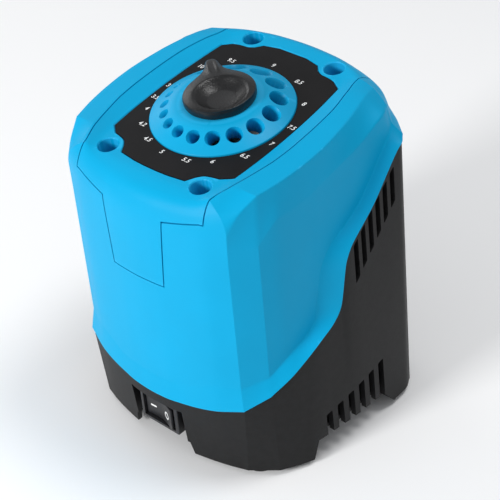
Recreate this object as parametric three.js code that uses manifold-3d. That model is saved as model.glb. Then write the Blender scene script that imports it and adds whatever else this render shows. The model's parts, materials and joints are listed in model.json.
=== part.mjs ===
// Bench drill bit sharpener: a mains machine with a flat abrasive wheel under a domed guide head.
// Millimetres, +Z up, front of the machine towards -Y, origin on the floor under the middle.
import * as THREE from "three";
import { mergeVertices } from "three/addons/utils/BufferGeometryUtils.js";
import Module from "manifold-3d";

const wasm = await Module();
wasm.setup();

// ---------------------------------------------------------------- driving dimensions
const FOOT_LIFT = 2.5;                       // rubber feet stand this far below the housing edge
const DIAL_HEIGHT = 153.2;                   // middle of the dial above the housing's lower edge
const DIAL_TILT = THREE.MathUtils.degToRad(7); // the dial, the guide head and the motor lean back
const WALL = 2.8;                            // moulded wall thickness
const GAP = 0.3;                             // clearance between neighbouring pieces

const HEAD_RADIUS = 32.7;                    // guide head, at the dial
const HEAD_RISE = 6.6;                       // dome height above the dial
const HEAD_DROP = 4;                         // how far the head reaches below the dial
const HEAD_NECK_RADIUS = 29.5;               // head where it passes through the cover
const HOLE_PITCH_RADIUS = 25.7;              // middle of the guide holes on the dome
const HOLE_HEIGHT = 4.4;                     // height of the hole mouths on the dome
const HOLE_LEAN = THREE.MathUtils.degToRad(31); // 90 minus half the 118 degree drill point
const DRILL_SIZES = [3, 3.5, 4, 4.2, 4.5, 5, 5.5, 6, 6.5, 7, 7.5, 8, 8.5, 9, 9.5, 10];
const HOLE_START_DEG = 183;                  // bearing of the 3 mm hole
const HOLE_SWEEP_DEG = 322;                  // from the 3 mm hole round to the 10 mm hole

const KNOB_RADIUS = 16.5;
const KNOB_TOP = 11;                         // knob rim above the dial
const KNOB_POINTER_DEG = 141;                // bearing of the pointer
const KNOB_POINTER_REACH = 27.5;
const DISH_RADIUS = 17;                      // ball that hollows the knob
const DISH_OFFSET = 3.4;                     // its middle, away from the pointer
const DISH_RISE = 12;                        // and above the rim

const WELL_RADIUS = 4.8;                     // cover screw wells
const WELL_DEPTH = 13;
const WELL_CENTRES = [[27.8, -44.7], [24.3, 48.3]];

// The motor and the wheel stand on the dial's tilted axis, and their heights are measured from the dial.
const SHAFT_RADIUS = 4;
const SHAFT_TOP = -10.2;
const SHAFT_FOOT = -118.6;
const WHEEL_RADIUS = 23;
const WHEEL_TOP = -13;                       // abrasive face, measured along the tilted axis
const WHEEL_THICKNESS = 6;
const STATOR_RADIUS = 33;
const STATOR_TOP = -56;
const STATOR_LENGTH = 32;
const ROTOR_RADIUS = 18.5;
const END_RING_RADIUS = 9.5;                 // bore of the rotor's end rings
const END_RING_RISE = 4;
const WINDING_INNER = 20.4;                  // end turns of the stator winding
const WINDING_OUTER = 25.6;
const BRACKET_RADIUS = 36;
const BRACKET_TOP = -39.6;
const BRACKET_FOOT = -113.6;
const BRACKET_WALL = 2.8;
const BRACKET_BORE = 31.4;                   // inside of the bracket skirt
const BEARING_RADIUS = 11;
const BEARING_HEIGHT = 7;
const BEARING_UPPER = -40;                   // lower faces of the two bearings
const BEARING_LOWER = -116;
const FAN_TOP = -100;
const FAN_FOOT = -108;
const FAN_RADIUS = 25.6;
const FAN_HUB_RADIUS = 9;
const FAN_BLADES = 7;
const STATOR_SLOTS = 8;
const BOLT_CIRCLE = 29.4;
const BOLT_RADIUS = 1.3;
const LUG_RADIUS = 3.4;                      // ears of the end brackets round the motor bolts

const SIDE_SLOTS = 6;                        // in each of the two groups on either side
const UPPER_SLOT_START = 6.6;
const UPPER_SLOT_PITCH = 5.15;
const UPPER_SLOT_WIDTH = 3;
const UPPER_SLOT_TOP = 103.6;                // first slot; each next one stands higher
const UPPER_SLOT_FOOT = 83;
const LOWER_SLOT_START = -17.9;
const LOWER_SLOT_PITCH = 7.02;
const LOWER_SLOT_WIDTH = 3.8;
const LOWER_SLOT_TOP = 21.5;

const COLOURS = {
  blue: 0x1ba6e0, black: 0x2a2a2c, knob: 0x161616, label: 0x1b1a1b, rubber: 0x1a1a1a, steel: 0xb9bcc0,
  zinc: 0xc8c9c4, copper: 0xb4622e, lamination: 0x6d7074, abrasive: 0xa8a29a,
  nylon: 0xdcd9cf, aluminium: 0xa9adb1, darkSteel: 0x4c4d50,
};

// ---------------------------------------------------------------- solids from three.js geometry
function solid(geometry) {
  const bare = geometry.index ? geometry.toNonIndexed() : geometry.clone();
  for (const name of Object.keys(bare.attributes)) {
    if (name !== "position") bare.deleteAttribute(name);
  }
  const merged = mergeVertices(bare, 1e-4);
  const index = merged.index.array;
  const kept = [];
  for (let i = 0; i < index.length; i += 3) {
    const [a, b, c] = [index[i], index[i + 1], index[i + 2]];
    if (a !== b && b !== c && c !== a) kept.push(a, b, c);
  }
  return new wasm.Manifold(new wasm.Mesh({
    numProp: 3,
    vertProperties: new Float32Array(merged.attributes.position.array),
    triVerts: new Uint32Array(kept),
  }));
}

function geometryOf(manifold) {
  const mesh = manifold.getMesh();
  const geometry = new THREE.BufferGeometry();
  geometry.setAttribute("position", new THREE.BufferAttribute(mesh.vertProperties, 3));
  geometry.setIndex(new THREE.BufferAttribute(mesh.triVerts, 1));
  geometry.computeVertexNormals();
  return geometry;
}

function unite(parts) {
  return parts.reduce((sum, part) => sum.add(part));
}

function cut(body, tools) {
  return tools.reduce((rest, tool) => rest.subtract(tool), body);
}

// A solid placed by a position, a rotation (radians, XYZ order) and an optional outer matrix.
function placed(geometry, position = [0, 0, 0], rotation = [0, 0, 0], outer = null) {
  const matrix = new THREE.Matrix4().compose(
    new THREE.Vector3(...position),
    new THREE.Quaternion().setFromEuler(new THREE.Euler(...rotation)),
    new THREE.Vector3(1, 1, 1),
  );
  const copy = geometry.clone().applyMatrix4(matrix);
  if (outer) copy.applyMatrix4(outer);
  return solid(copy);
}

const DIAL_MATRIX = new THREE.Matrix4()
  .makeTranslation(0, 0, DIAL_HEIGHT)
  .multiply(new THREE.Matrix4().makeRotationX(DIAL_TILT));

// A place in the dial's own frame, whose Z axis is the axis of the head and the motor.
function onDial(x, y, z) {
  return DIAL_MATRIX.clone().multiply(new THREE.Matrix4().makeTranslation(x, y, z));
}

// The dial's frame turned about its own axis.
function swung(degrees) {
  const turn = new THREE.Matrix4().makeRotationZ(THREE.MathUtils.degToRad(degrees));
  return DIAL_MATRIX.clone().multiply(turn);
}

function box(x0, x1, y0, y1, z0, z1, outer = null) {
  const geometry = new THREE.BoxGeometry(x1 - x0, y1 - y0, z1 - z0);
  return placed(geometry, [(x0 + x1) / 2, (y0 + y1) / 2, (z0 + z1) / 2], [0, 0, 0], outer);
}

// Upright cylinder from z0 to z1.
function post(x, y, z0, z1, radius, sides = 32, outer = null) {
  const geometry = new THREE.CylinderGeometry(radius, radius, z1 - z0, sides);
  return placed(geometry, [x, y, (z0 + z1) / 2], [Math.PI / 2, 0, 0], outer);
}

// Solid of revolution about Z from [radius, z] pairs.
function turned(profile, sides = 48, outer = null) {
  const points = profile.map(([r, z]) => new THREE.Vector2(r, z));
  if (THREE.ShapeUtils.area(points) < 0) points.reverse();
  return placed(new THREE.LatheGeometry(points, sides), [0, 0, 0], [Math.PI / 2, 0, 0], outer);
}

// A ring: the closed profile goes round once and comes back to its start.
function ring(innerRadius, outerRadius, z0, z1, sides = 32, outer = null) {
  return turned([
    [innerRadius, z0], [outerRadius, z0], [outerRadius, z1], [innerRadius, z1], [innerRadius, z0],
  ], sides, outer);
}

function outline(points) {
  return new THREE.Shape(points.map(([x, y]) => new THREE.Vector2(x, y)));
}

// Flat outline pushed up along Z from z0 to z1.
function slab(points, z0, z1, outer = null) {
  const geometry = new THREE.ExtrudeGeometry(outline(points), { depth: z1 - z0, bevelEnabled: false });
  return placed(geometry, [0, 0, z0], [0, 0, 0], outer);
}

// Side view outline of [y, z] pairs pushed along X from x0 to x1.
function sidePrism(points, x0, x1) {
  const geometry = new THREE.ExtrudeGeometry(outline(points), { depth: x1 - x0, bevelEnabled: false });
  const turn = new THREE.Matrix4().set(0, 0, 1, x0, 1, 0, 0, 0, 0, 1, 0, 0, 0, 0, 0, 1);
  return solid(geometry.applyMatrix4(turn));
}

// Front view outline of [x, z] pairs pushed along Y from y0 to y1.
function frontPrism(points, y0, y1) {
  const geometry = new THREE.ExtrudeGeometry(outline(points), { depth: y1 - y0, bevelEnabled: false });
  const turn = new THREE.Matrix4().set(1, 0, 0, 0, 0, 0, -1, y1, 0, 1, 0, 0, 0, 0, 0, 1);
  return solid(geometry.applyMatrix4(turn));
}

function mirrored(points) {
  return [...points, ...points.slice().reverse().map(([x, ...rest]) => [-x, ...rest])];
}

// ---------------------------------------------------------------- skins lofted through outlines
// Each outline runs over the right half, front middle first and rear middle last, as [x, y, z].
function fullRing(half) {
  const right = half.map((p) => new THREE.Vector3(...p));
  const left = half.slice(1, -1).reverse().map(([x, y, z]) => new THREE.Vector3(-x, y, z));
  return [...right, ...left];
}

function planNormal(points, i) {
  const before = points[(i + points.length - 1) % points.length];
  const after = points[(i + 1) % points.length];
  return new THREE.Vector3(after.y - before.y, before.x - after.x, 0).normalize();
}

function inset(points, distance, rise = 0) {
  return points.map((p, i) => {
    const normal = planNormal(points, i);
    return new THREE.Vector3(p.x - normal.x * distance, p.y - normal.y * distance, p.z + rise);
  });
}

function loft(rings, lowerCentre, upperCentre) {
  const count = rings[0].length;
  const vertices = rings.flat().flatMap((p) => [p.x, p.y, p.z]);
  const low = rings.length * count;
  vertices.push(...lowerCentre, ...upperCentre);
  const index = [];
  for (let i = 0; i < count; i += 1) {
    const next = (i + 1) % count;
    for (let r = 0; r + 1 < rings.length; r += 1) {
      const [a, b] = [r * count + i, r * count + next];
      index.push(a, b, b + count, a, b + count, a + count);
    }
    index.push(low, next, i);
    index.push(low + 1, low - count + i, low - count + next);
  }
  const geometry = new THREE.BufferGeometry();
  geometry.setAttribute("position", new THREE.Float32BufferAttribute(vertices, 3));
  geometry.setIndex(index);
  return solid(geometry);
}

function dialZ(y, rise = 0) {
  return DIAL_HEIGHT + y * Math.tan(DIAL_TILT) + rise;
}

// Lower edge of the blue shell: low across the front, stepping up each side, high at the rear.
const RIM_EDGE = [
  [0, -64, 33.5], [9.5, -63.6, 33.7], [18, -62.4, 34.3], [27, -60.8, 35.2], [36, -58.6, 36.6],
  [49.4, -53.4, 39.6], [57.4, -43.6, 45.8], [62.6, -32, 54.5], [65.4, -18, 64], [66.3, -8.4, 70],
  [66.6, -3.6, 76], [66.8, 1.2, 98], [67, 4.4, 104.2], [67.2, 20.5, 118], [67.5, 39.5, 138.5],
  [64.4, 45.6, 140.4], [52, 54.6, 141.6], [36, 60, 142], [18, 63, 142.2], [0, 64, 142.2],
];
// Where the flared rim meets the side panel.
const RIM_INNER = [
  [0, -62.3, 43.8], [9.5, -61.9, 43.8], [18, -60.9, 44.2], [27, -59.4, 47.5], [36, -57.2, 50.5],
  [47.5, -52, 51], [55, -41, 54.4], [58, -30, 62], [59.2, -18, 67.6], [59.5, -13.5, 73],
  [59.7, -11.5, 84], [60, -8, 98.5], [60.3, -3, 105.5], [61.2, 16, 117.3], [61.7, 36.5, 140],
  [59.8, 43.4, 145.5], [49.5, 53.4, 147], [34.5, 58.4, 147.4], [17, 61.4, 147.6], [0, 62.4, 147.6],
];
// Upper edge of the side panel.
const PANEL_TOP = [
  [0, -61.7, 126], [9.5, -61.3, 126], [17.6, -60.3, 126], [27, -58.8, 126], [36, -56.8, 126],
  [47.5, -52, 126], [55, -41, 127], [58, -30, 136.5], [59.2, -18, 137.3], [59.7, -12, 138.5],
  [60, -8, 139.7], [60.2, -3, 141.2], [60.5, 3, 142.8], [61.2, 20, 147.6], [60.4, 36, 153],
  [57, 43.5, 154], [46.5, 53, 154.4], [33, 57.8, 154.6], [17, 60.6, 155], [0, 61.4, 155.2],
];
// Shoulder crease along the sides, start of the rounding at the front and the rear.
const SHOULDER = [
  [0, -61.2, 136.5], [9.5, -60.8, 136.5], [17.6, -59.8, 136.5], [27, -58.4, 136.8], [36, -56.4, 137.6],
  [48.2, -51.8, 140.5], [53.8, -38.5, dialZ(-38.5, 1.9)], [56.3, -27, dialZ(-27, 2)],
  [57.6, -17, dialZ(-17, 2)], [58, -10, dialZ(-10, 2)], [58.1, -6, dialZ(-6, 2)],
  [58, -1, dialZ(-1, 2)], [57.6, 4, dialZ(4, 2)], [55.2, 20, dialZ(20, 1.9)], [50.6, 37, dialZ(37, 1.4)],
  [48.6, 45.5, dialZ(45.5, -0.4)], [40, 51.6, 157.6], [30, 55.4, 157.9], [15.5, 58.2, 158.2],
  [0, 59, 158.3],
];
// Ridge beside the cover seam, middle of the rounding at the front and the rear.
const RIDGE = [
  [0, -58, 143.6], [9.5, -57.6, 143.6], [17.6, -56.7, 143.7], [26.5, -55.2, 144.2], [33.5, -53.2, 145.6],
  [38.2, -50.2, dialZ(-50.2, 1.6)], [41.6, -39, dialZ(-39, 2.4)], [44.4, -27, dialZ(-27, 2.4)],
  [46.2, -17, dialZ(-17, 2.4)], [46.7, -10, dialZ(-10, 2.4)], [46.8, -6, dialZ(-6, 2.4)],
  [46.7, -1, dialZ(-1, 2.4)], [46.6, 4, dialZ(4, 2.4)], [45.6, 20, dialZ(20, 2.4)],
  [42.6, 35, dialZ(35, 2.2)], [40, 46.4, dialZ(46.4, 1.2)], [32.5, 51.2, dialZ(51.2, 0.4)],
  [24, 53.8, dialZ(53.8, 0)], [12.5, 55.6, dialZ(55.6, -0.2)], [0, 56.2, dialZ(56.2, -0.2)],
];
// Edge of the flat dial deck.
const DECK = [
  [0, -50.5], [9, -50.4], [17, -50], [25, -49.3], [30.5, -48.6], [33.8, -47], [35.8, -37.5], [37, -26],
  [37.8, -16.5], [38, -10], [38.1, -6], [38, -1], [37.9, 4], [37.2, 19], [35.4, 33.5], [33.6, 44],
  [27.5, 48.8], [20, 51.2], [10.5, 52.6], [0, 53.2],
].map(([x, y]) => [x, y, dialZ(y)]);

// Outline of the black housing at its lower edge.
const FOOTPRINT = [
  [0, -60.6], [9.5, -60.2], [19.4, -58.4], [28, -56.7], [37.3, -54.4], [46.4, -51.4], [58.2, -42.2],
  [63, -34], [66.3, -26.5], [68.2, -14], [69.2, -6], [69.9, 2], [70.3, 10], [70.5, 23], [69.8, 37],
  [66.6, 44.6], [52.4, 56.6], [36, 61.6], [18, 63.6], [0, 64],
].map(([x, y]) => [x, y, 0]);

const rimRing = fullRing(RIM_EDGE);

const PARTING_GAP = 0.5;                      // between the blue rim and the black housing
const PARTING_STEP = 0.8;                     // the housing stands this far inside the rim

// Top edge of the black housing: the blue rim's edge, drawn back by the parting gap and set in a little.
function partingRing() {
  const count = rimRing.length;
  return rimRing.map((p, i) => {
    const along = rimRing[(i + 1) % count].clone().sub(rimRing[(i + count - 1) % count]);
    const outwards = planNormal(rimRing, i);
    const away = along.cross(outwards).normalize();
    if (away.z > 0) away.negate();
    return p.clone().addScaledVector(away, PARTING_GAP).addScaledVector(outwards, -PARTING_STEP);
  });
}

// ---------------------------------------------------------------- blue mouldings
const SEAM = [
  [46, -80], [38.6, -60], [37.4, -50.3], [40.9, -39], [43.8, -27], [45.6, -17], [46.2, -6],
  [46.1, 4], [45.1, 20], [42, 35], [39.5, 47], [39.5, 80],
];
const WING_LOW = 134.6;
const WING_HIGH = 138.6;
const TONGUE_TOP_HALF = 17.6;
const TONGUE_FOOT_HALF = 15.1;
const TONGUE_FOOT = 99.8;

function blueOuter() {
  const rings = [RIM_EDGE, RIM_INNER, PANEL_TOP, SHOULDER, RIDGE, DECK].map(fullRing);
  return loft([inset(rings[0], 5), ...rings], [0, 0, 84], [0, 0, DIAL_HEIGHT]);
}

function blueInner() {
  const rings = [RIM_INNER, PANEL_TOP].map(fullRing).map((points) => inset(points, WALL));
  const roof = [SHOULDER, RIDGE, DECK].map(fullRing).map((points) => inset(points, WALL, -WALL));
  const low = inset(rimRing, WALL, 0);
  const under = inset(rimRing, WALL, -12);
  return loft([under, low, ...rings, ...roof], [0, 0, 50], [0, 0, DIAL_HEIGHT - WALL]);
}

// Everything that belongs to the removable cover: the deck inside the seam, the wings and the tongue.
function coverZone(grow) {
  const seam = mirrored(SEAM.map(([x, y]) => [x + grow, y]));
  const plan = slab(seam, 100, 190);
  const wings = frontPrism([
    [-60, WING_HIGH - grow], [-36, WING_HIGH - grow], [-TONGUE_TOP_HALF - grow, WING_LOW - grow],
    [TONGUE_TOP_HALF + grow, WING_LOW - grow], [36, WING_HIGH - grow], [60, WING_HIGH - grow],
    [60, 200], [-60, 200],
  ], -90, 90);
  const tongue = frontPrism([
    [-TONGUE_TOP_HALF - grow, WING_LOW + 4], [-TONGUE_TOP_HALF - grow, WING_LOW],
    [-TONGUE_FOOT_HALF - grow, TONGUE_FOOT - grow], [TONGUE_FOOT_HALF + grow, TONGUE_FOOT - grow],
    [TONGUE_TOP_HALF + grow, WING_LOW], [TONGUE_TOP_HALF + grow, WING_LOW + 4],
  ], -90, -45);
  return plan.intersect(wings).add(tongue);
}

const LABEL_OUTLINE = mirrored([
  [4, -46.8], [10, -46.5], [19.2, -45.3], [21.6, -41.4], [24.4, -38.6], [28.2, -37.4], [31.4, -36.8],
  [35.5, -33.1], [36.6, -16], [36.8, 0], [36.4, 18], [34.1, 37.4], [30.4, 40.6], [26.6, 41.6],
  [22.4, 42], [19, 43.6], [16.2, 46.6], [8, 48.4],
]);
const LABEL_POCKET = 1;
const LABEL_LOW = -0.7;
const LABEL_HIGH = -0.2;

function bodyShell(skin) {
  const shell = skin.subtract(coverZone(GAP));
  const bosses = [];
  for (const side of [-1, 1]) {
    const [x, y] = [side * WELL_CENTRES[0][0], WELL_CENTRES[0][1]];
    bosses.push(post(x, y, -46, -WELL_DEPTH - 3.4, 4.6, 8, DIAL_MATRIX));
    bosses.push(box(x - 1.4, x + 1.4, -57.6, y + 2, 104, 128));
  }
  const bores = [-1, 1].map((side) => (
    post(side * WELL_CENTRES[0][0], WELL_CENTRES[0][1], -40, 0, 1.85, 8, DIAL_MATRIX)
  ));
  return cut(unite([shell, ...bosses]), bores);
}

function topCover(skin) {
  let cover = skin.intersect(coverZone(0));
  const pocket = slab(LABEL_OUTLINE, -LABEL_POCKET, 6, DIAL_MATRIX);
  const wells = [];
  for (const [x, y] of WELL_CENTRES) {
    for (const side of [-1, 1]) {
      cover = cover.add(post(side * x, y, -WELL_DEPTH - 3, -1.5, WELL_RADIUS + 1.8, 8, DIAL_MATRIX));
      wells.push(post(side * x, y, -WELL_DEPTH, 20, WELL_RADIUS, 10, DIAL_MATRIX));
      wells.push(post(side * x, y, -WELL_DEPTH - 5, 20, 2.3, 6, DIAL_MATRIX));
    }
  }
  const collar = turned([[0, -HEAD_DROP], [35.6, -HEAD_DROP], [35.6, -1.6], [0, -1.6]], 24, DIAL_MATRIX);
  const neck = HEAD_NECK_RADIUS + GAP + 0.05;
  const bore = turned([[0, -12], [neck, -12], [neck, 8], [0, 8]], 30, DIAL_MATRIX);
  const stops = [-1, 1].map((side) => headBlock(270 + side * 33, 3.4, 33.6, 35.6, -7.4, -3.5));
  return cut(unite([cover, collar, ...stops]), [pocket, bore, ...wells]);
}

// A block of the given width at a bearing round the head, between two radii and two heights.
function headBlock(bearing, width, r0, r1, z0, z1) {
  return box(r0, r1, -width / 2, width / 2, z0, z1, swung(bearing));
}

// ---------------------------------------------------------------- black housing
function housingOuter() {
  const top = partingRing();
  return loft([fullRing(FOOTPRINT), top, inset(top, 5)], [0, 0, 0], [0, 0, 84]);
}

function housingInner() {
  const top = partingRing();
  const low = inset(fullRing(FOOTPRINT), WALL);
  const below = low.map((p) => new THREE.Vector3(p.x, p.y, -4));
  return loft([below, low, inset(top, WALL), inset(top, WALL, 20)], [0, 0, -4], [0, 0, 140]);
}

const BELLY = 10;                             // housing edge between the feet

function bellyCut() {
  const sides = sidePrism([[-27.5, -1], [28.5, -1], [25, 4], [19.5, BELLY], [-23.6, BELLY]], -90, 90);
  const front = frontPrism([[-19.4, -1], [19.4, -1], [17.6, 7.6], [-17.6, 7.6]], -90, -45);
  const rear = frontPrism([[-38, -1], [38, -1], [34, BELLY], [-34, BELLY]], 45, 90);
  return [sides, front, rear];
}

// The span of X that a cutter needs to go through one side wall.
function sideSpan(side, near, far) {
  return side > 0 ? [near, far] : [-far, -near];
}

const UPPER_TOP_STEP = 4.79;                  // rise of the slots' upper ends from one to the next
const UPPER_FOOT_STEP = 5.253;
const LOWER_TOP_STEP = 1.7;

function upperSlots(side) {
  const tools = [];
  for (let i = 0; i < SIDE_SLOTS; i += 1) {
    const y = UPPER_SLOT_START + i * UPPER_SLOT_PITCH;
    const end = y + UPPER_SLOT_WIDTH;
    const top = UPPER_SLOT_TOP + i * UPPER_TOP_STEP;
    const low = UPPER_SLOT_FOOT + i * UPPER_FOOT_STEP;
    const edge = [[y, low], [end, low + 3], [end, top + 2.6], [y, top]];
    tools.push(sidePrism(edge, ...sideSpan(side, 58, 80)));
  }
  return tools;
}

// The ribs between the upper slots lie a little below the surface of the housing.
function upperRecess(side) {
  const edge = [[4, 78.5], [36.6, 111.5], [36.6, 132], [33.8, 130.2], [4, 104]];
  return sidePrism(edge, ...sideSpan(side, 69.2, 90));
}

function lowerSlots(side) {
  const tools = [];
  for (let i = 0; i < SIDE_SLOTS; i += 1) {
    const y = LOWER_SLOT_START + i * LOWER_SLOT_PITCH;
    const end = y + LOWER_SLOT_WIDTH;
    const top = LOWER_SLOT_TOP + i * LOWER_TOP_STEP;
    const edge = [[y, BELLY - 6], [end, BELLY - 6], [end, top + 0.9], [y, top]];
    tools.push(sidePrism(edge, ...sideSpan(side, 52, 80)));
  }
  return tools;
}

const SWITCH_HALF = 16.4;
const SWITCH_LOW = 7.4;
const SWITCH_HIGH = 27;
const SWITCH_BACK = -54;                      // rear face of the switch recess

const FOOT_CENTRES = [[44.5, -40.5], [52.5, 42]];
const FOOT_RADIUS = 8;
const FOOT_SEAT = 2.6;                        // depth of the pocket a foot sits in
const FOOT_PEG_RADIUS = 3;
const PLATE_SCREWS = [[56.2, -33.4], [62.6, 31.5]];
const PLATE_LOW = BELLY + 0.7;
const PLATE_HIGH = BELLY + 3.1;
const GLAND_PLACE = [30, 30];                 // x and z of the cord gland in the rear wall
const GLAND_FACE = 59.4;                      // seat of the gland, sunk in the rear wall

const SWITCH_MIDDLE = 18;                     // height of the rocker's middle
const BEZEL_HALF = 12;
const BEZEL_RISE = 8.6;                       // half height of the switch's frame
const BEZEL_FACE = -59.4;
const BARREL_HALF = 9.1;                      // mains switch where it passes through the wall
const BARREL_RISE = 6.5;
const TAB_RISE = 2.4;                         // half width of a flat connection tab

function cornerPads(outer) {
  const pads = [];
  for (const side of [-1, 1]) {
    const [x0, x1] = side > 0 ? [33, 90] : [-90, -33];
    pads.push(box(x0, x1, -90, -26, 0, BELLY + 0.4));
    pads.push(box(x0, x1, 27, 90, 0, BELLY + 0.4));
  }
  return outer.intersect(unite(pads));
}

function housingPosts() {
  const posts = [];
  const bores = [];
  for (const side of [-1, 1]) {
    for (const [x, y] of PLATE_SCREWS) {
      posts.push(post(side * x, y, PLATE_HIGH + GAP, 30, 4.4, 8));
      bores.push(post(side * x, y, -1, PLATE_HIGH + 1, 2.1, 8));
      bores.push(post(side * x, y, -1, 4, 4.4, 8));
      bores.push(post(side * x, y, 5, 27, 1.7, 6));
    }
    for (const [x, y] of FOOT_CENTRES) {
      bores.push(post(side * x, y, -1, FOOT_SEAT, FOOT_RADIUS + GAP + 0.1, 16));
      bores.push(post(side * x, y, -1, 6, FOOT_PEG_RADIUS + GAP, 8));
    }
    const [x, y] = [side * WELL_CENTRES[1][0], WELL_CENTRES[1][1]];
    posts.push(post(x, y, -46, -WELL_DEPTH - 3.4, 4.6, 8, DIAL_MATRIX));
    posts.push(box(x - 1.4, x + 1.4, y + 3, 61, 116, 138));
    bores.push(post(x, y, -40, 0, 1.85, 8, DIAL_MATRIX));
  }
  return [posts, bores];
}

function baseHousing() {
  const outer = housingOuter();
  const shell = outer.subtract(housingInner());
  const [posts, bores] = housingPosts();
  const switchBox = outer.intersect(
    box(-SWITCH_HALF - 2.4, SWITCH_HALF + 2.4, -70, SWITCH_BACK + 2.4, SWITCH_LOW, SWITCH_HIGH + 2.4),
  );
  const recess = box(-SWITCH_HALF, SWITCH_HALF, -80, SWITCH_BACK, -1, SWITCH_HIGH);
  const mouth = box(
    -BARREL_HALF - GAP, BARREL_HALF + GAP, -70, -40,
    SWITCH_MIDDLE - BARREL_RISE - GAP, SWITCH_MIDDLE + BARREL_RISE + GAP,
  );
  const [gx, gz] = GLAND_PLACE;
  const glandPad = outer.intersect(box(gx - 10.5, gx + 10.5, 56.6, 70, gz - 10.5, gz + 10.5));
  const glandRecess = box(gx - 8.6, gx + 8.6, GLAND_FACE, 80, gz - 8.6, gz + 8.6);
  const glandHole = placed(new THREE.CylinderGeometry(5.4, 5.4, 30, 16), [gx, 58, gz]);
  const vents = [-1, 1].flatMap((side) => [...upperSlots(side), ...lowerSlots(side), upperRecess(side)]);
  return cut(unite([shell, cornerPads(outer), switchBox, glandPad, ...posts]), [
    ...bores, recess, mouth, glandRecess, glandHole, ...bellyCut(), ...vents,
  ]);
}

function bottomPlate() {
  const edge = inset(fullRing(FOOTPRINT), 3.9);
  const low = edge.map((p) => new THREE.Vector3(p.x, p.y, PLATE_LOW));
  const high = edge.map((p) => new THREE.Vector3(p.x, p.y, PLATE_HIGH));
  const tools = [box(-19.2, 19.2, -80, SWITCH_BACK + 2.8, 0, 40), box(-10, 10, -80, -37, 0, 40)];
  for (const side of [-1, 1]) {
    for (const [x, y] of PLATE_SCREWS) tools.push(post(side * x, y, 0, 20, 1.9, 10));
  }
  for (let i = 0; i < 7; i += 1) {
    const y = -24 + i * 8;
    tools.push(box(-17, 17, y, y + 3.6, 0, 20));
  }
  return cut(loft([low, high], [0, 0, PLATE_LOW], [0, 0, PLATE_HIGH]), tools);
}

function rubberFoot(x, y) {
  const profile = [
    [0, -FOOT_LIFT], [FOOT_RADIUS - 0.8, -FOOT_LIFT], [FOOT_RADIUS, -FOOT_LIFT + 0.8],
    [FOOT_RADIUS, FOOT_SEAT - GAP], [FOOT_PEG_RADIUS, FOOT_SEAT - GAP], [FOOT_PEG_RADIUS, 5.7], [0, 5.7],
  ];
  return turned(profile, 16, new THREE.Matrix4().makeTranslation(x, y, 0));
}

// Profile of a pan head screw standing on Z, head down.
function panScrew(headRadius, headHeight, shankRadius, length) {
  const tip = headHeight + length;
  return [
    [0, 0], [headRadius * 0.8, 0], [headRadius, headHeight * 0.35], [headRadius, headHeight],
    [shankRadius, headHeight], [shankRadius, tip - 1.2], [0, tip],
  ];
}

function plateScrew(x, y) {
  return turned(panScrew(3.9, 2.4, 1.3, 21), 8, new THREE.Matrix4().makeTranslation(x, y, 1.2));
}

const SCREW_HEAD_HEIGHT = 2.6;

// Cover screw: head in the bottom of its well, point down, standing on the dial's tilted axis.
function coverScrew(x, y) {
  const flip = new THREE.Matrix4().makeRotationX(Math.PI);
  const place = onDial(x, y, -WELL_DEPTH + GAP + SCREW_HEAD_HEIGHT).multiply(flip);
  const body = turned(panScrew(4, SCREW_HEAD_HEIGHT, 1.4, 20), 10, place);
  return body.subtract(box(-5, 5, -0.5, 0.5, -1, 1.2, place));
}

// ---------------------------------------------------------------- dial, guide head and knob
function dialLabel() {
  const edge = LABEL_OUTLINE.map(([x, y]) => [x * 0.991, y * 0.992]);
  const plate = slab(edge, LABEL_LOW, LABEL_HIGH, DIAL_MATRIX);
  return plate.subtract(post(0, 0, -4, 4, HEAD_RADIUS + GAP + 0.2, 30, DIAL_MATRIX));
}

// Bearings of the guide holes: equal webs of plastic between neighbours.
function holeBearings() {
  const sweep = THREE.MathUtils.degToRad(HOLE_SWEEP_DEG) * HOLE_PITCH_RADIUS;
  const pairs = DRILL_SIZES.slice(1).map((size, i) => (size + DRILL_SIZES[i]) / 2);
  const web = (sweep - pairs.reduce((sum, w) => sum + w, 0)) / pairs.length;
  const bearings = [HOLE_START_DEG];
  for (const width of pairs) {
    const step = THREE.MathUtils.radToDeg((width + web) / HOLE_PITCH_RADIUS);
    bearings.push(bearings[bearings.length - 1] + step);
  }
  return bearings;
}

function guideHole(size, bearing) {
  const angle = THREE.MathUtils.degToRad(bearing);
  const [c, s] = [Math.cos(angle), Math.sin(angle)];
  const axis = new THREE.Vector3(Math.sin(HOLE_LEAN) * c, Math.sin(HOLE_LEAN) * s, Math.cos(HOLE_LEAN));
  const mouth = new THREE.Vector3(HOLE_PITCH_RADIUS * c, HOLE_PITCH_RADIUS * s, HOLE_HEIGHT);
  const matrix = new THREE.Matrix4().compose(
    mouth,
    new THREE.Quaternion().setFromUnitVectors(new THREE.Vector3(0, 1, 0), axis),
    new THREE.Vector3(1, 1, 1),
  );
  const drill = new THREE.CylinderGeometry(size / 2, size / 2, 60, 8);
  return placed(drill, [0, 0, 0], [0, 0, 0], DIAL_MATRIX.clone().multiply(matrix));
}

const RETAINER_SCREWS = [1, 6, 13];           // webs, counted from the 3 mm hole, that carry a screw
const RETAINER_SCREW_CIRCLE = 28;
const RETAINER_LOW = -6.2;
const RETAINER_HIGH = -HEAD_DROP - GAP;

function retainerPoints() {
  const bearings = holeBearings();
  return RETAINER_SCREWS.map((i) => {
    const angle = THREE.MathUtils.degToRad((bearings[i - 1] + bearings[i]) / 2);
    return [RETAINER_SCREW_CIRCLE * Math.cos(angle), RETAINER_SCREW_CIRCLE * Math.sin(angle)];
  });
}

const HUB_RADIUS = 12;
const HUB_FLOOR = 1;

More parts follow.
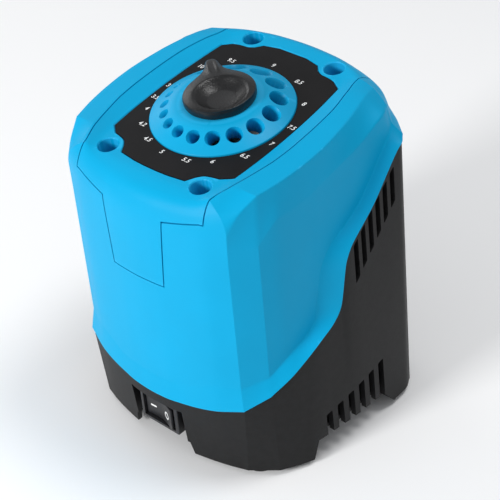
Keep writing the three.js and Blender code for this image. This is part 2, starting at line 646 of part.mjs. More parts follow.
function guideHead() {
  const dome = turned([
    [0, -HEAD_DROP], [HEAD_NECK_RADIUS, -HEAD_DROP], [HEAD_NECK_RADIUS, -LABEL_POCKET + GAP],
    [HEAD_RADIUS, -LABEL_POCKET + GAP], [HEAD_RADIUS, 0.2], [29.2, 2.4], [23, 5.95],
    [20, HEAD_RISE], [0, HEAD_RISE],
  ], 30, DIAL_MATRIX);
  const bearings = holeBearings();
  const tools = DRILL_SIZES.map((size, i) => guideHole(size, bearings[i]));
  tools.push(post(0, 0, HUB_FLOOR, 20, HUB_RADIUS + GAP, 24, DIAL_MATRIX));
  tools.push(post(0, 0, -20, 20, 2.8, 10, DIAL_MATRIX));
  for (const [x, y] of retainerPoints()) tools.push(post(x, y, -10, -1, 1, 6, DIAL_MATRIX));
  return cut(dome, tools);
}

function gripKnob() {
  const frame = swung(KNOB_POINTER_DEG);
  const low = HEAD_RISE + GAP;
  const body = turned([
    [0, HUB_FLOOR + GAP], [HUB_RADIUS, HUB_FLOOR + GAP], [HUB_RADIUS, low], [KNOB_RADIUS, low],
    [KNOB_RADIUS - 0.2, 9.4], [KNOB_RADIUS - 1, KNOB_TOP - 0.4], [KNOB_RADIUS - 2, KNOB_TOP], [0, KNOB_TOP],
  ], 24, DIAL_MATRIX);
  const reach = KNOB_POINTER_REACH;
  const pointer = slab([
    [2, -KNOB_RADIUS + 0.4], [9, -12.4], [14.5, -6.4], [19, -3.4], [reach - 2, -2.5], [reach, -1.6],
    [reach, 1.6], [reach - 2, 2.5], [19, 3.4], [14.5, 6.4], [9, 12.4], [2, KNOB_RADIUS - 0.4],
  ], low, KNOB_TOP + 1, frame);
  const ball = new THREE.SphereGeometry(DISH_RADIUS, 18, 14);
  const dish = placed(ball, [-DISH_OFFSET, 0, KNOB_TOP + DISH_RISE], [0, 0, 0], frame);
  const bore = post(0, 0, -5, 5.2, 2.3, 10, DIAL_MATRIX);
  return cut(body.add(pointer), [dish, bore]);
}

function knobScrew() {
  const place = onDial(0, 0, -HEAD_DROP - GAP - SCREW_HEAD_HEIGHT);
  return turned(panScrew(5, SCREW_HEAD_HEIGHT, 1.8, 8), 10, place);
}

function retainerRing() {
  const plate = ring(26.9, 33, RETAINER_LOW, RETAINER_HIGH, 28, DIAL_MATRIX);
  const lug = headBlock(270, 3.4, 32, 35.4, RETAINER_LOW, RETAINER_HIGH);
  const holes = retainerPoints().map(([x, y]) => post(x, y, -10, 0, 1.05, 6, DIAL_MATRIX));
  return cut(plate.add(lug), holes);
}

function retainerScrew([x, y]) {
  const headHeight = 1;
  return turned(panScrew(1.7, headHeight, 0.65, 4.8), 8, onDial(x, y, RETAINER_LOW - GAP - headHeight));
}

// ---------------------------------------------------------------- wheel and motor, on the tilted axis
const STATOR_LOW = STATOR_TOP - STATOR_LENGTH;
const SHAFT_BORE = SHAFT_RADIUS + GAP;

function chamberTray() {
  return turned([
    [12.4, -28.4], [43.6, -28.4], [45, -27], [45, -17], [43, -17], [43, -26.2], [14.4, -26.2],
    [14.4, -23.6], [12.4, -23.6], [12.4, -28.4],
  ], 24, DIAL_MATRIX);
}

const NUT_RECESS = 1.6;                       // the wheel is dished round its nut

function grindingWheel() {
  const low = WHEEL_TOP - WHEEL_THICKNESS;
  const seat = WHEEL_TOP - NUT_RECESS;
  return turned([
    [SHAFT_BORE, low], [WHEEL_RADIUS - 1.4, low], [WHEEL_RADIUS, low + 1.4], [WHEEL_RADIUS, WHEEL_TOP],
    [10, WHEEL_TOP], [9, seat], [SHAFT_BORE, seat], [SHAFT_BORE, low],
  ], 28, DIAL_MATRIX);
}

function wheelFlange() {
  const top = WHEEL_TOP - WHEEL_THICKNESS - GAP;
  return turned([
    [SHAFT_BORE, top - 7], [7, top - 7], [7, top - 2.4], [13.6, top - 2.4], [13.6, top],
    [SHAFT_BORE, top], [SHAFT_BORE, top - 7],
  ], 16, DIAL_MATRIX);
}

function wheelNut() {
  const low = WHEEL_TOP - NUT_RECESS + GAP;
  const hexagon = post(0, 0, low, low + 3.6, 7.6, 6, DIAL_MATRIX);
  return hexagon.subtract(post(0, 0, low - 2, low + 6, SHAFT_BORE, 16, DIAL_MATRIX));
}

function motorShaft() {
  const chamfer = 0.8;
  return turned([
    [0, SHAFT_FOOT], [SHAFT_RADIUS - chamfer, SHAFT_FOOT], [SHAFT_RADIUS, SHAFT_FOOT + chamfer],
    [SHAFT_RADIUS, SHAFT_TOP - chamfer], [SHAFT_RADIUS - chamfer, SHAFT_TOP], [0, SHAFT_TOP],
  ], 16, DIAL_MATRIX);
}

function bearing(low) {
  return ring(SHAFT_BORE, BEARING_RADIUS, low, low + BEARING_HEIGHT, 20, DIAL_MATRIX);
}

function boltPoints() {
  return [45, 135, 225, 315].map((deg) => {
    const angle = THREE.MathUtils.degToRad(deg);
    return [BOLT_CIRCLE * Math.cos(angle), BOLT_CIRCLE * Math.sin(angle)];
  });
}

function bracketWindows(z0, z1) {
  return [0, 90, 180, 270].map((bearing) => box(16.5, 27, -8.5, 8.5, z0, z1, swung(bearing)));
}

function sideWindows(z0, z1) {
  return [0, 90, 180, 270].map((bearing) => box(26, 44, -10, 10, z0, z1, swung(bearing)));
}

const BEARING_LIP = 9.6;                      // the bracket turns in this far over its bearing
const CUP_RADIUS = 14.2;                      // outside of the bearing cup

function bracketUpper() {
  const top = BEARING_UPPER + BEARING_HEIGHT + GAP;
  const low = STATOR_TOP + GAP;
  const under = BRACKET_TOP - BRACKET_WALL;
  const cup = turned([
    [BEARING_LIP, top], [BEARING_LIP, top + 2], [CUP_RADIUS, top + 2], [CUP_RADIUS, BRACKET_TOP],
    [BRACKET_RADIUS, BRACKET_TOP], [BRACKET_RADIUS, low], [BRACKET_BORE, low], [BRACKET_BORE, under],
    [BEARING_RADIUS + GAP, under], [BEARING_RADIUS + GAP, top], [BEARING_LIP, top],
  ], 20, DIAL_MATRIX);
  const bolts = boltPoints().map(([x, y]) => post(x, y, -70, -20, 2.2, 6, DIAL_MATRIX));
  const lugs = boltPoints().map(([x, y]) => post(x, y, low, BRACKET_TOP, LUG_RADIUS, 6, DIAL_MATRIX));
  return cut(unite([cup, ...lugs]), [...bracketWindows(-45, -37), ...sideWindows(-53, -45), ...bolts]);
}

function bracketLower() {
  const high = STATOR_LOW - GAP;
  const floor = BRACKET_FOOT + BRACKET_WALL;
  const seat = BEARING_LOWER - GAP;
  const cup = turned([
    [BRACKET_BORE, high], [BRACKET_RADIUS, high], [BRACKET_RADIUS, BRACKET_FOOT],
    [CUP_RADIUS, BRACKET_FOOT], [CUP_RADIUS, BEARING_LOWER - 5], [0, BEARING_LOWER - 5],
    [0, BEARING_LOWER - 3.4],
    [BEARING_LIP, BEARING_LOWER - 3.4], [BEARING_LIP, seat], [BEARING_RADIUS + GAP, seat],
    [BEARING_RADIUS + GAP, floor], [BRACKET_BORE, floor], [BRACKET_BORE, high],
  ], 20, DIAL_MATRIX);
  const bolts = boltPoints().map(([x, y]) => post(x, y, -112, -60, 1.7, 6, DIAL_MATRIX));
  const lugs = boltPoints().map(([x, y]) => post(x, y, -112.5, high, LUG_RADIUS, 6, DIAL_MATRIX));
  const legs = boltPoints().map(([x, y]) => post(x, y, -160, -112, 5.2, 6, DIAL_MATRIX));
  const body = cut(unite([cup, ...lugs, ...legs]), [...sideWindows(-107, -94), ...bolts]);
  return body.subtract(box(-99, 99, -99, 99, -60, PLATE_HIGH + GAP));
}

function motorBolt([x, y]) {
  const top = BRACKET_TOP + GAP + SCREW_HEAD_HEIGHT;
  const profile = panScrew(3.6, SCREW_HEAD_HEIGHT, BOLT_RADIUS, 66).map(([r, z]) => [r, top - z]);
  return turned(profile, 8, onDial(x, y, 0));
}

function slotTools(r0, r1, width, z0, z1) {
  return Array.from({ length: STATOR_SLOTS }, (_, i) => (
    box(r0, r1, -width / 2, width / 2, z0, z1, swung((360 * (i + 0.5)) / STATOR_SLOTS))
  ));
}

function statorCore() {
  const [below, above] = [STATOR_LOW - 5, STATOR_TOP + 5];
  const bolts = boltPoints().map(([x, y]) => post(x, y, below, above, BOLT_RADIUS + 0.6, 6, DIAL_MATRIX));
  const slots = slotTools(17, WINDING_OUTER + GAP, 6, below, above);
  const core = ring(ROTOR_RADIUS + 0.6, STATOR_RADIUS, STATOR_LOW, STATOR_TOP, 24, DIAL_MATRIX);
  return cut(core, [...bolts, ...slots]);
}

function statorWinding() {
  const ends = [[STATOR_TOP + 0.4, STATOR_TOP + 8], [STATOR_LOW - 8, STATOR_LOW - 0.4]];
  const turns = ends.map(([z0, z1]) => ring(WINDING_INNER, WINDING_OUTER, z0, z1, 24, DIAL_MATRIX));
  const bars = slotTools(WINDING_INNER + 0.2, WINDING_OUTER - 0.3, 5.2, STATOR_LOW - 2, STATOR_TOP + 2);
  return unite([...turns, ...bars]);
}

function rotorCore() {
  const [foot, top] = [STATOR_LOW - END_RING_RISE, STATOR_TOP + END_RING_RISE];
  const outer = ROTOR_RADIUS - 1;
  return turned([
    [END_RING_RADIUS, foot], [outer, foot], [outer, STATOR_LOW], [ROTOR_RADIUS, STATOR_LOW],
    [ROTOR_RADIUS, STATOR_TOP], [outer, STATOR_TOP], [outer, top], [END_RING_RADIUS, top],
    [END_RING_RADIUS, STATOR_TOP], [SHAFT_BORE, STATOR_TOP], [SHAFT_BORE, STATOR_LOW],
    [END_RING_RADIUS, STATOR_LOW], [END_RING_RADIUS, foot],
  ], 24, DIAL_MATRIX);
}

function coolingFan() {
  const under = FAN_TOP - 1.4;
  const plate = turned([
    [SHAFT_BORE, FAN_FOOT], [FAN_HUB_RADIUS, FAN_FOOT], [FAN_HUB_RADIUS, under], [FAN_RADIUS, under],
    [FAN_RADIUS, FAN_TOP], [SHAFT_BORE, FAN_TOP], [SHAFT_BORE, FAN_FOOT],
  ], 16, DIAL_MATRIX);
  const [inner, outer] = [FAN_HUB_RADIUS - 0.6, FAN_RADIUS - 0.8];
  const blades = Array.from({ length: FAN_BLADES }, (_, i) => (
    box(inner, outer, -0.8, 0.8, FAN_FOOT + 0.6, FAN_TOP - 0.6, swung((360 * i) / FAN_BLADES))
  ));
  return unite([plate, ...blades]);
}

// ---------------------------------------------------------------- electrical pieces in the base
const ROCKER_AXIS_Y = -58;
const ROCKER_THROW = THREE.MathUtils.degToRad(8); // either way from the middle
const ROCKER_RISE = 6.3;                      // half height of the rocker

function switchBody() {
  const block = (x0, x1, y0, y1, rise) => box(x0, x1, y0, y1, SWITCH_MIDDLE - rise, SWITCH_MIDDLE + rise);
  const bezel = block(-BEZEL_HALF, BEZEL_HALF, BEZEL_FACE, SWITCH_BACK - GAP, BEZEL_RISE);
  const barrel = block(-BARREL_HALF, BARREL_HALF, -55, -38, BARREL_RISE);
  const tabs = [-6, 0, 6].map((x) => block(x - 0.4, x + 0.4, -40, -31.5, TAB_RISE));
  const cavity = block(-10.1, 10.1, -70, -55.7, 6.7);
  return unite([bezel, barrel, ...tabs]).subtract(cavity);
}

// Rocker with its two faces set at the throw, standing with its left half pressed in.
function switchRocker() {
  const edge = [
    [-9.4, -3.5], [0, -2.2], [9.4, -3.5], [9.4, -1], [6, 0.8], [2.2, 1.6], [-2.2, 1.6], [-6, 0.8],
    [-9.4, -1],
  ];
  const turn = new THREE.Matrix4().makeTranslation(0, ROCKER_AXIS_Y, 0)
    .multiply(new THREE.Matrix4().makeRotationZ(-ROCKER_THROW));
  return slab(edge, SWITCH_MIDDLE - ROCKER_RISE, SWITCH_MIDDLE + ROCKER_RISE, turn);
}

function cordGland() {
  const [x, z] = GLAND_PLACE;
  const profile = [
    [3.4, 0], [5, 0], [5, 6.6], [7.6, 6.6], [7.6, 7.6], [5.8, 9.4], [3.4, 9.8], [3.4, 0],
  ];
  const place = new THREE.Matrix4().makeTranslation(x, GLAND_FACE - 6.3, z)
    .multiply(new THREE.Matrix4().makeRotationX(-Math.PI / 2));
  return turned(profile, 12, place);
}

function terminalBlock() {
  const z0 = PLATE_HIGH + GAP;
  const body = box(36, 54, -16, 14, z0, z0 + 6).add(box(39, 51, -16, 14, z0 + 5, z0 + 13));
  const wells = [-11, -3.5, 4, 11].map((y) => post(45, y - 0.2, z0 + 8, z0 + 20, 2.1, 8));
  return cut(body, wells);
}

const CAN_RADIUS = 10;

function runCapacitor() {
  const [x, z] = [-48, PLATE_HIGH + GAP + CAN_RADIUS];
  const neckRadius = CAN_RADIUS - TAB_RISE;
  const can = placed(new THREE.CylinderGeometry(CAN_RADIUS, CAN_RADIUS, 38, 16), [x, -1, z]);
  const neck = placed(new THREE.CylinderGeometry(neckRadius, neckRadius, 4, 12), [x, -21.5, z]);
  const tabs = [x - 3.4, x + 3.4].map((tab) => (
    box(tab - 0.4, tab + 0.4, -29, -22, z - TAB_RISE, z + TAB_RISE)
  ));
  return unite([can, neck, ...tabs]);
}

// ---------------------------------------------------------------- assembly
const machine = new THREE.Group();
machine.position.z = FOOT_LIFT;

function node(name, manifold, color, roughness = 0.5, metalness = 0) {
  const material = new THREE.MeshStandardMaterial({ color, roughness, metalness });
  const mesh = new THREE.Mesh(geometryOf(manifold), material);
  mesh.name = name;
  machine.add(mesh);
}

const skin = blueOuter().subtract(blueInner());
node("base_housing", baseHousing(), COLOURS.black, 0.6);
node("body_shell", bodyShell(skin), COLOURS.blue, 0.42);
node("top_cover", topCover(skin), COLOURS.blue, 0.42);
node("bottom_plate", bottomPlate(), COLOURS.black, 0.65);
node("dial_label", dialLabel(), COLOURS.label, 0.4);
node("guide_head", guideHead(), COLOURS.blue, 0.42);
node("grip_knob", gripKnob(), COLOURS.knob, 0.3);
node("knob_screw", knobScrew(), COLOURS.steel, 0.35, 1);
node("head_retainer", retainerRing(), COLOURS.zinc, 0.4, 1);
retainerPoints().forEach((point, i) => {
  node(`retainer_screw_${i + 1}`, retainerScrew(point), COLOURS.steel, 0.35, 1);
});
node("chamber_tray", chamberTray(), COLOURS.black, 0.6);
node("grinding_wheel", grindingWheel(), COLOURS.abrasive, 0.95);
node("wheel_flange", wheelFlange(), COLOURS.aluminium, 0.4, 1);
node("wheel_nut", wheelNut(), COLOURS.steel, 0.3, 1);
node("motor_shaft", motorShaft(), COLOURS.steel, 0.25, 1);
node("rotor_core", rotorCore(), COLOURS.lamination, 0.5, 1);
node("cooling_fan", coolingFan(), COLOURS.nylon, 0.6);
node("bearing_upper", bearing(BEARING_UPPER), COLOURS.steel, 0.25, 1);
node("bearing_lower", bearing(BEARING_LOWER), COLOURS.steel, 0.25, 1);
node("bracket_upper", bracketUpper(), COLOURS.aluminium, 0.5, 1);
node("bracket_lower", bracketLower(), COLOURS.aluminium, 0.5, 1);
node("stator_core", statorCore(), COLOURS.lamination, 0.5, 1);
node("stator_winding", statorWinding(), COLOURS.copper, 0.45, 1);
boltPoints().forEach((point, i) => {
  node(`motor_bolt_${i + 1}`, motorBolt(point), COLOURS.steel, 0.35, 1);
});
node("switch_body", switchBody(), COLOURS.black, 0.5);
node("switch_rocker", switchRocker(), COLOURS.knob, 0.3);
node("cord_gland", cordGland(), COLOURS.rubber, 0.7);
node("terminal_block", terminalBlock(), COLOURS.nylon, 0.6);
node("run_capacitor", runCapacitor(), COLOURS.aluminium, 0.5, 0.6);
for (const [side, hand] of [[-1, "left"], [1, "right"]]) {
  ["front", "rear"].forEach((end, i) => {
    const [footX, footY] = FOOT_CENTRES[i];
    node(`foot_${end}_${hand}`, rubberFoot(side * footX, footY), COLOURS.rubber, 0.85);
    const [wellX, wellY] = WELL_CENTRES[i];
    node(`cover_screw_${end}_${hand}`, coverScrew(side * wellX, wellY), COLOURS.darkSteel, 0.4, 1);
    const [plateX, plateY] = PLATE_SCREWS[i];
    node(`plate_screw_${end}_${hand}`, plateScrew(side * plateX, plateY), COLOURS.steel, 0.35, 1);
  });
}

export default machine;
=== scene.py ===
import json
import math

import bmesh
import bpy
import numpy as np
from mathutils import Matrix, Vector


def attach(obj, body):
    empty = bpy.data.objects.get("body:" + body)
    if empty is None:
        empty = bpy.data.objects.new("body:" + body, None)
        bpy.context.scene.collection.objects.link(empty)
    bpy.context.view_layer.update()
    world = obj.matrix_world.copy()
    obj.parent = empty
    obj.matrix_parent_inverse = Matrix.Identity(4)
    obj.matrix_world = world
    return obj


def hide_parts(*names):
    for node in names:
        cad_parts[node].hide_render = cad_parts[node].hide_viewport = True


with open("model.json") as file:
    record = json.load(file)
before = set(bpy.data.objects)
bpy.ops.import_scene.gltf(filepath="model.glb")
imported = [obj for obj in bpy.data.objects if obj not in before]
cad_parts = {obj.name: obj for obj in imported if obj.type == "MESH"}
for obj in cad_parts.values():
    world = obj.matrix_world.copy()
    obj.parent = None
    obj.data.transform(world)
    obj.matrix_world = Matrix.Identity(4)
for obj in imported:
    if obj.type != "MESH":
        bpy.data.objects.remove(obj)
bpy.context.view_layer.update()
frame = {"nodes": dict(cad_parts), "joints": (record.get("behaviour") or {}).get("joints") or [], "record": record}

# Bench drill bit sharpener. Lengths are millimetres in the frame's own axes (+Z up, front towards -Y), except
# those of the lamps and the floor, which are metres.
MM = 0.001
FOOT_LIFT = 2.5            # the outlines are measured from the housing's lower edge, this far above the floor
WALL = 2.8                 # moulded wall
SEAM_GAP = 0.6             # parting line between the cover and the shell
COLUMNS_PER_STEP = 8       # mesh columns between two points of an outline
CORNERS = (5, 6, 15)       # outline points where the plan turns sharply: front facet's edges, rear corner
CRISP = 17                 # faces of the mouldings that meet at more degrees than this shade as an edge
ROUNDED = 34               # the same for most other pieces
FAR = 90                   # well outside the casing, where tools that cut right through begin and end

head_joint = next(joint for joint in frame["joints"] if joint["name"] == "head_swing")
HEAD_AXIS = Vector(head_joint["axis"])
HEAD_POINT = Vector(head_joint["pos_m"]) / MM
DIAL_TILT = math.atan2(-HEAD_AXIS.y, HEAD_AXIS.z)
DIAL_HEIGHT = HEAD_POINT.z - FOOT_LIFT
LIFT = Matrix.Translation((0, 0, FOOT_LIFT))
DIAL = Matrix.Translation(HEAD_POINT) @ Matrix.Rotation(DIAL_TILT, 4, "X")


# ------------------------------------------------------------------ camera, light and floor
# Where the camera stands, as seen from the dial: bearing, height, roll, and its offset and distance.
VIEW_AZIMUTH = math.radians(49.15)
VIEW_ELEVATION = math.radians(41.18)
VIEW_ROLL = math.radians(-11.78)
VIEW_SHIFT = (-12.01, 61.8)
VIEW_DISTANCE = 678.7
VIEW_LENS = 111.2
SENSOR_WIDTH = 36

# The studio, in metres: the point that the lamps face, and each lamp's place, size and power.
LIT_POINT = (0, 0, 0.09)
LAMPS = {
    "key": ((-0.2, -1.1, 0.55), 0.35, 11),
    "overhead": ((0.3, 0.3, 1.15), 0.4, 4.3),
    "fill": ((-1.0, 0.2, 0.5), 0.6, 1.5),
}
SKY_COLOUR, SKY_STRENGTH = (0.95, 0.97, 1.0, 1), 0.47
FLOOR_REACH = 3.0


def add_camera():
    back = Vector((
        math.sin(VIEW_AZIMUTH) * math.cos(VIEW_ELEVATION),
        -math.cos(VIEW_AZIMUTH) * math.cos(VIEW_ELEVATION),
        math.sin(VIEW_ELEVATION),
    ))
    level = Vector((0, 0, 1)).cross(back).normalized()
    upright = back.cross(level)
    right = math.cos(VIEW_ROLL) * level + math.sin(VIEW_ROLL) * upright
    up = back.cross(right)
    place = right * -VIEW_SHIFT[0] + up * -VIEW_SHIFT[1] + back * VIEW_DISTANCE
    turn = Matrix((right, up, back)).transposed().to_4x4()
    turn.translation = place
    matrix = DIAL @ turn
    matrix.translation = matrix.translation * MM
    data = bpy.data.cameras.new("camera")
    data.lens = VIEW_LENS
    data.sensor_width = SENSOR_WIDTH
    data.clip_start = 0.01
    camera = bpy.data.objects.new("camera", data)
    bpy.context.collection.objects.link(camera)
    camera.matrix_world = matrix
    bpy.context.scene.camera = camera


def add_lamp(name, place, size, power):
    data = bpy.data.lights.new(name, "AREA")
    data.shape = "DISK"
    data.size = size
    data.energy = power
    light = bpy.data.objects.new(name, data)
    bpy.context.collection.objects.link(light)
    light.location = place
    light.rotation_euler = (Vector(LIT_POINT) - Vector(place)).to_track_quat("-Z", "Y").to_euler()


def add_studio():
    bpy.context.scene.view_settings.view_transform = "Standard"
    world = bpy.data.worlds.new("studio")
    world.use_nodes = True
    sky = world.node_tree.nodes["Background"]
    sky.inputs["Color"].default_value = SKY_COLOUR
    sky.inputs["Strength"].default_value = SKY_STRENGTH
    bpy.context.scene.world = world
    for name, (place, size, power) in LAMPS.items():
        add_lamp(name, place, size, power)
    corners = [(x * FLOOR_REACH, y * FLOOR_REACH, 0) for x, y in ((-1, -1), (1, -1), (1, 1), (-1, 1))]
    floor_mesh = bpy.data.meshes.new("floor")
    floor_mesh.from_pydata(corners, [], [(0, 1, 2, 3)])
    floor = bpy.data.objects.new("floor", floor_mesh)
    bpy.context.collection.objects.link(floor)
    floor.data.materials.append(plain_material("floor_paper", (0.95, 0.95, 0.95), 0.9))


# ------------------------------------------------------------------ materials
def plain_material(name, colour, roughness):
    material = bpy.data.materials.new(name)
    material.use_nodes = True
    shader = material.node_tree.nodes["Principled BSDF"]
    shader.inputs["Base Color"].default_value = (*colour, 1)
    shader.inputs["Roughness"].default_value = roughness
    return material


def surface(name, colour, roughness, metallic=0.0, tint=0.06, mottle=60, grain=2600, bump=0.06, edge_highlight=0.0,
            gloss_spread=0.08, specular=0.5):
    """A moulded or turned surface: slow colour drift, fine grain in bump and gloss, and a painted highlight that
    makes its sharp outer edges paler.
    """
    material = bpy.data.materials.new(name)
    material.use_nodes = True
    tree = material.node_tree
    nodes, links = tree.nodes, tree.links
    shader = nodes["Principled BSDF"]
    shader.inputs["Metallic"].default_value = metallic
    shader.inputs["Specular IOR Level"].default_value = specular
    place = nodes.new("ShaderNodeTexCoord")

    drift = nodes.new("ShaderNodeTexNoise")
    drift.inputs["Scale"].default_value = mottle
    drift.inputs["Detail"].default_value = 3
    links.new(place.outputs["Object"], drift.inputs["Vector"])
    shades = nodes.new("ShaderNodeValToRGB")
    shades.color_ramp.elements[0].position = 0.3
    shades.color_ramp.elements[1].position = 0.7
    shades.color_ramp.elements[0].color = (*[c * (1 - tint) for c in colour], 1)
    shades.color_ramp.elements[1].color = (*[min(1, c * (1 + tint)) for c in colour], 1)
    links.new(drift.outputs["Fac"], shades.inputs["Fac"])
    colour_out = shades.outputs["Color"]

    fine = nodes.new("ShaderNodeTexNoise")
    fine.inputs["Scale"].default_value = grain
    fine.inputs["Detail"].default_value = 2
    links.new(place.outputs["Object"], fine.inputs["Vector"])

    # Painted highlight: the sharp outer edges, found by pointiness, are mixed towards a paler copy of the colour,
    # like lit rims.
    if edge_highlight:
        shape = nodes.new("ShaderNodeNewGeometry")
        edge = nodes.new("ShaderNodeValToRGB")
        edge.color_ramp.elements[0].position = 0.53
        edge.color_ramp.elements[1].position = 0.62
        edge.color_ramp.elements[1].color = (edge_highlight, edge_highlight, edge_highlight, 1)
        links.new(shape.outputs["Pointiness"], edge.inputs["Fac"])
        paler = nodes.new("ShaderNodeMix")
        paler.data_type = "RGBA"
        paler.inputs[7].default_value = (*[min(1, c * 1.5 + 0.05) for c in colour], 1)
        links.new(edge.outputs["Color"], paler.inputs[0])
        links.new(colour_out, paler.inputs[6])
        colour_out = paler.outputs[2]
    links.new(colour_out, shader.inputs["Base Color"])

    gloss = nodes.new("ShaderNodeMapRange")
    gloss.inputs["To Min"].default_value = max(0.02, roughness - gloss_spread)
    gloss.inputs["To Max"].default_value = min(1, roughness + gloss_spread)
    links.new(fine.outputs["Fac"], gloss.inputs["Value"])
    links.new(gloss.outputs["Result"], shader.inputs["Roughness"])

    relief = nodes.new("ShaderNodeBump")
    relief.inputs["Strength"].default_value = bump
    relief.inputs["Distance"].default_value = 0.0002
    links.new(fine.outputs["Fac"], relief.inputs["Height"])
    links.new(relief.outputs["Normal"], shader.inputs["Normal"])
    return material


BLUE = (0.0, 0.345, 0.62)
MATERIALS = {
    "blue_shell": surface(
        "satin_blue_plastic", BLUE, 0.46, tint=0.03, mottle=25, grain=2600, bump=0.22, edge_highlight=0.25,
        specular=0.12),
    "blue_head": surface(
        "blue_head_plastic", BLUE, 0.42, tint=0.03, mottle=40, grain=3600, bump=0.06, edge_highlight=0.25,
        specular=0.2),
    "black_housing": surface(
        "textured_black_plastic", (0.0085, 0.0085, 0.009), 0.5, tint=0.18, mottle=300, grain=1700, bump=0.35,
        edge_highlight=0.2, specular=0.22),
    "black_knob": surface(
        "knob_plastic", (0.005, 0.005, 0.0055), 0.34, tint=0.2, mottle=200, grain=1300, bump=0.8, edge_highlight=0.3,
        gloss_spread=0.14, specular=0.45),
    "black_switch": surface(
        "switch_plastic", (0.014, 0.014, 0.016), 0.4, tint=0.12, mottle=300, grain=2600, bump=0.15, edge_highlight=0.3),
    "printed_label": surface(
        "label_film", (0.006, 0.0055, 0.006), 0.42, tint=0.15, mottle=90, grain=4200, bump=0.08,
        specular=0.18),
    "rubber": surface(
        "foot_rubber", (0.016, 0.016, 0.016), 0.85, tint=0.2, mottle=400, grain=2200, bump=0.5),
    "steel": surface(
        "bright_steel", (0.56, 0.57, 0.58), 0.3, metallic=1, grain=1800, bump=0.15),
    "dark_steel": surface(
        "black_steel", (0.10, 0.10, 0.105), 0.42, metallic=1, grain=1800, bump=0.2, edge_highlight=0.5),
    "zinc_steel": surface(
        "zinc_plate", (0.62, 0.63, 0.60), 0.35, metallic=1, tint=0.12, grain=1500, bump=0.2),
    "aluminium": surface(
        "cast_aluminium", (0.60, 0.61, 0.62), 0.45, metallic=1, tint=0.08, grain=1200, bump=0.5),
    "lamination": surface(
        "steel_stack", (0.30, 0.31, 0.32), 0.5, metallic=1, tint=0.2, grain=1400, bump=0.5),
    "copper": surface(
        "enamelled_copper", (0.62, 0.24, 0.09), 0.35, metallic=1, tint=0.2, grain=900, bump=0.8),
    "abrasive": surface(
        "bonded_grit", (0.36, 0.33, 0.30), 0.95, tint=0.35, mottle=1800, grain=2400, bump=1.0),
    "nylon": surface(
        "natural_nylon", (0.72, 0.70, 0.64), 0.5, tint=0.06, grain=2400, bump=0.12),
    "white_print": surface(
        "white_print", (0.86, 0.86, 0.85), 0.5, tint=0.02, grain=3000, bump=0.05),
}


# ------------------------------------------------------------------ meshes
def piece(name, vertices, faces, matrix=None, material=None, smooth=ROUNDED):
    """A mesh object from millimetre points; matrix, also in millimetres, puts it in the frame."""
    mesh = bpy.data.meshes.new(name)
    placed = [(matrix @ Vector(v) if matrix else Vector(v)) * MM for v in vertices]
    mesh.from_pydata(placed, [], faces)
    mesh.validate()
    obj = bpy.data.objects.new(name, mesh)
    bpy.context.collection.objects.link(obj)
    outwards(obj)
    if material:
        mesh.materials.append(MATERIALS[material])
    shade(obj, smooth)
    return obj


def outwards(obj):
    """Turns the faces of obj to point out of it."""
    work = bmesh.new()
    work.from_mesh(obj.data)
    bmesh.ops.recalc_face_normals(work, faces=work.faces)
    work.to_mesh(obj.data)
    work.free()


def shade(obj, angle):
    """Smooth shading, with a crisp edge wherever faces meet at more than angle degrees."""
    obj.data.shade_smooth()
    obj.data.set_sharp_from_angle(angle=math.radians(angle))


def flatten(obj):
    """Weights the shading by face area, so that flat faces stay flat beside their rounded edges."""
    weigh = obj.modifiers.new("normals", "WEIGHTED_NORMAL")
    weigh.keep_sharp = True
    weigh.weight = 50
    settle(obj)


def settle(obj):
    """Applies the modifiers of obj to its mesh."""
    graph = bpy.context.evaluated_depsgraph_get()
    result = bpy.data.meshes.new_from_object(obj.evaluated_get(graph))
    obj.modifiers.clear()
    old = obj.data
    obj.data = result
    bpy.data.meshes.remove(old)


def combine(body, tools, operation="DIFFERENCE"):
    """Cuts tools from body, or joins them to it, and removes them."""
    for tool in tools:
        change = body.modifiers.new("join", "BOOLEAN")
        change.operation = operation
        change.object = tool
        change.solver = "MANIFOLD"
    settle(body)
    for tool in tools:
        bpy.data.objects.remove(tool)
    return body


def soften(obj, width):
    """Rounds the sharp edges of obj by width."""
    rounding = obj.modifiers.new("edge", "BEVEL")
    rounding.width = width * MM
    rounding.segments = 3
    rounding.limit_method = "ANGLE"
    rounding.angle_limit = math.radians(40)
    rounding.use_clamp_overlap = True
    settle(obj)


def tube_faces(rings, count, closed=False):
    """Quads between neighbouring rings of count points."""
    faces = []
    for r in range(rings if closed else rings - 1):
        low, high = r * count, ((r + 1) % rings) * count
        for i in range(count):
            j = (i + 1) % count
            faces.append((low + i, low + j, high + j, high + i))
    return faces


def loft(name, rings, matrix=LIFT, material=None, closed=False, smooth=ROUNDED):
    """A skin through rings of equal length, with a flat cap at each end, or round on itself when closed."""
    count = len(rings[0])
    faces = tube_faces(len(rings), count, closed)
    if not closed:
        faces.append(tuple(reversed(range(count))))
        faces.append(tuple(range((len(rings) - 1) * count, len(rings) * count)))
    return piece(name, [tuple(p) for ring in rings for p in ring], faces, matrix, material, smooth)


def turned(name, profile, sides=96, matrix=None, material=None, smooth=ROUNDED):
    """A solid turned about Z. Its [radius, z] pairs start and end on the axis, or close on themselves."""
    closed = profile[0][0] > 0
    points = profile[:-1] if closed else profile
    rings = []
    for radius, z in points:
        turn = [2 * math.pi * i / sides for i in range(sides)]
        rings.append([(max(radius, 1e-3) * math.cos(a), max(radius, 1e-3) * math.sin(a), z) for a in turn])
    return loft(name, rings, matrix, material, closed, smooth)


def prism(name, outline, low, high, matrix=None, material=None):
    """A flat [x, y] outline pushed along Z from low to high."""
    rings = [[(x, y, z) for x, y in outline] for z in (low, high)]
    return loft(name, rings, matrix, material)


def block(x0, x1, y0, y1, z0, z1, matrix=LIFT):
    return prism("tool", [(x0, y0), (x1, y0), (x1, y1), (x0, y1)], z0, z1, matrix)


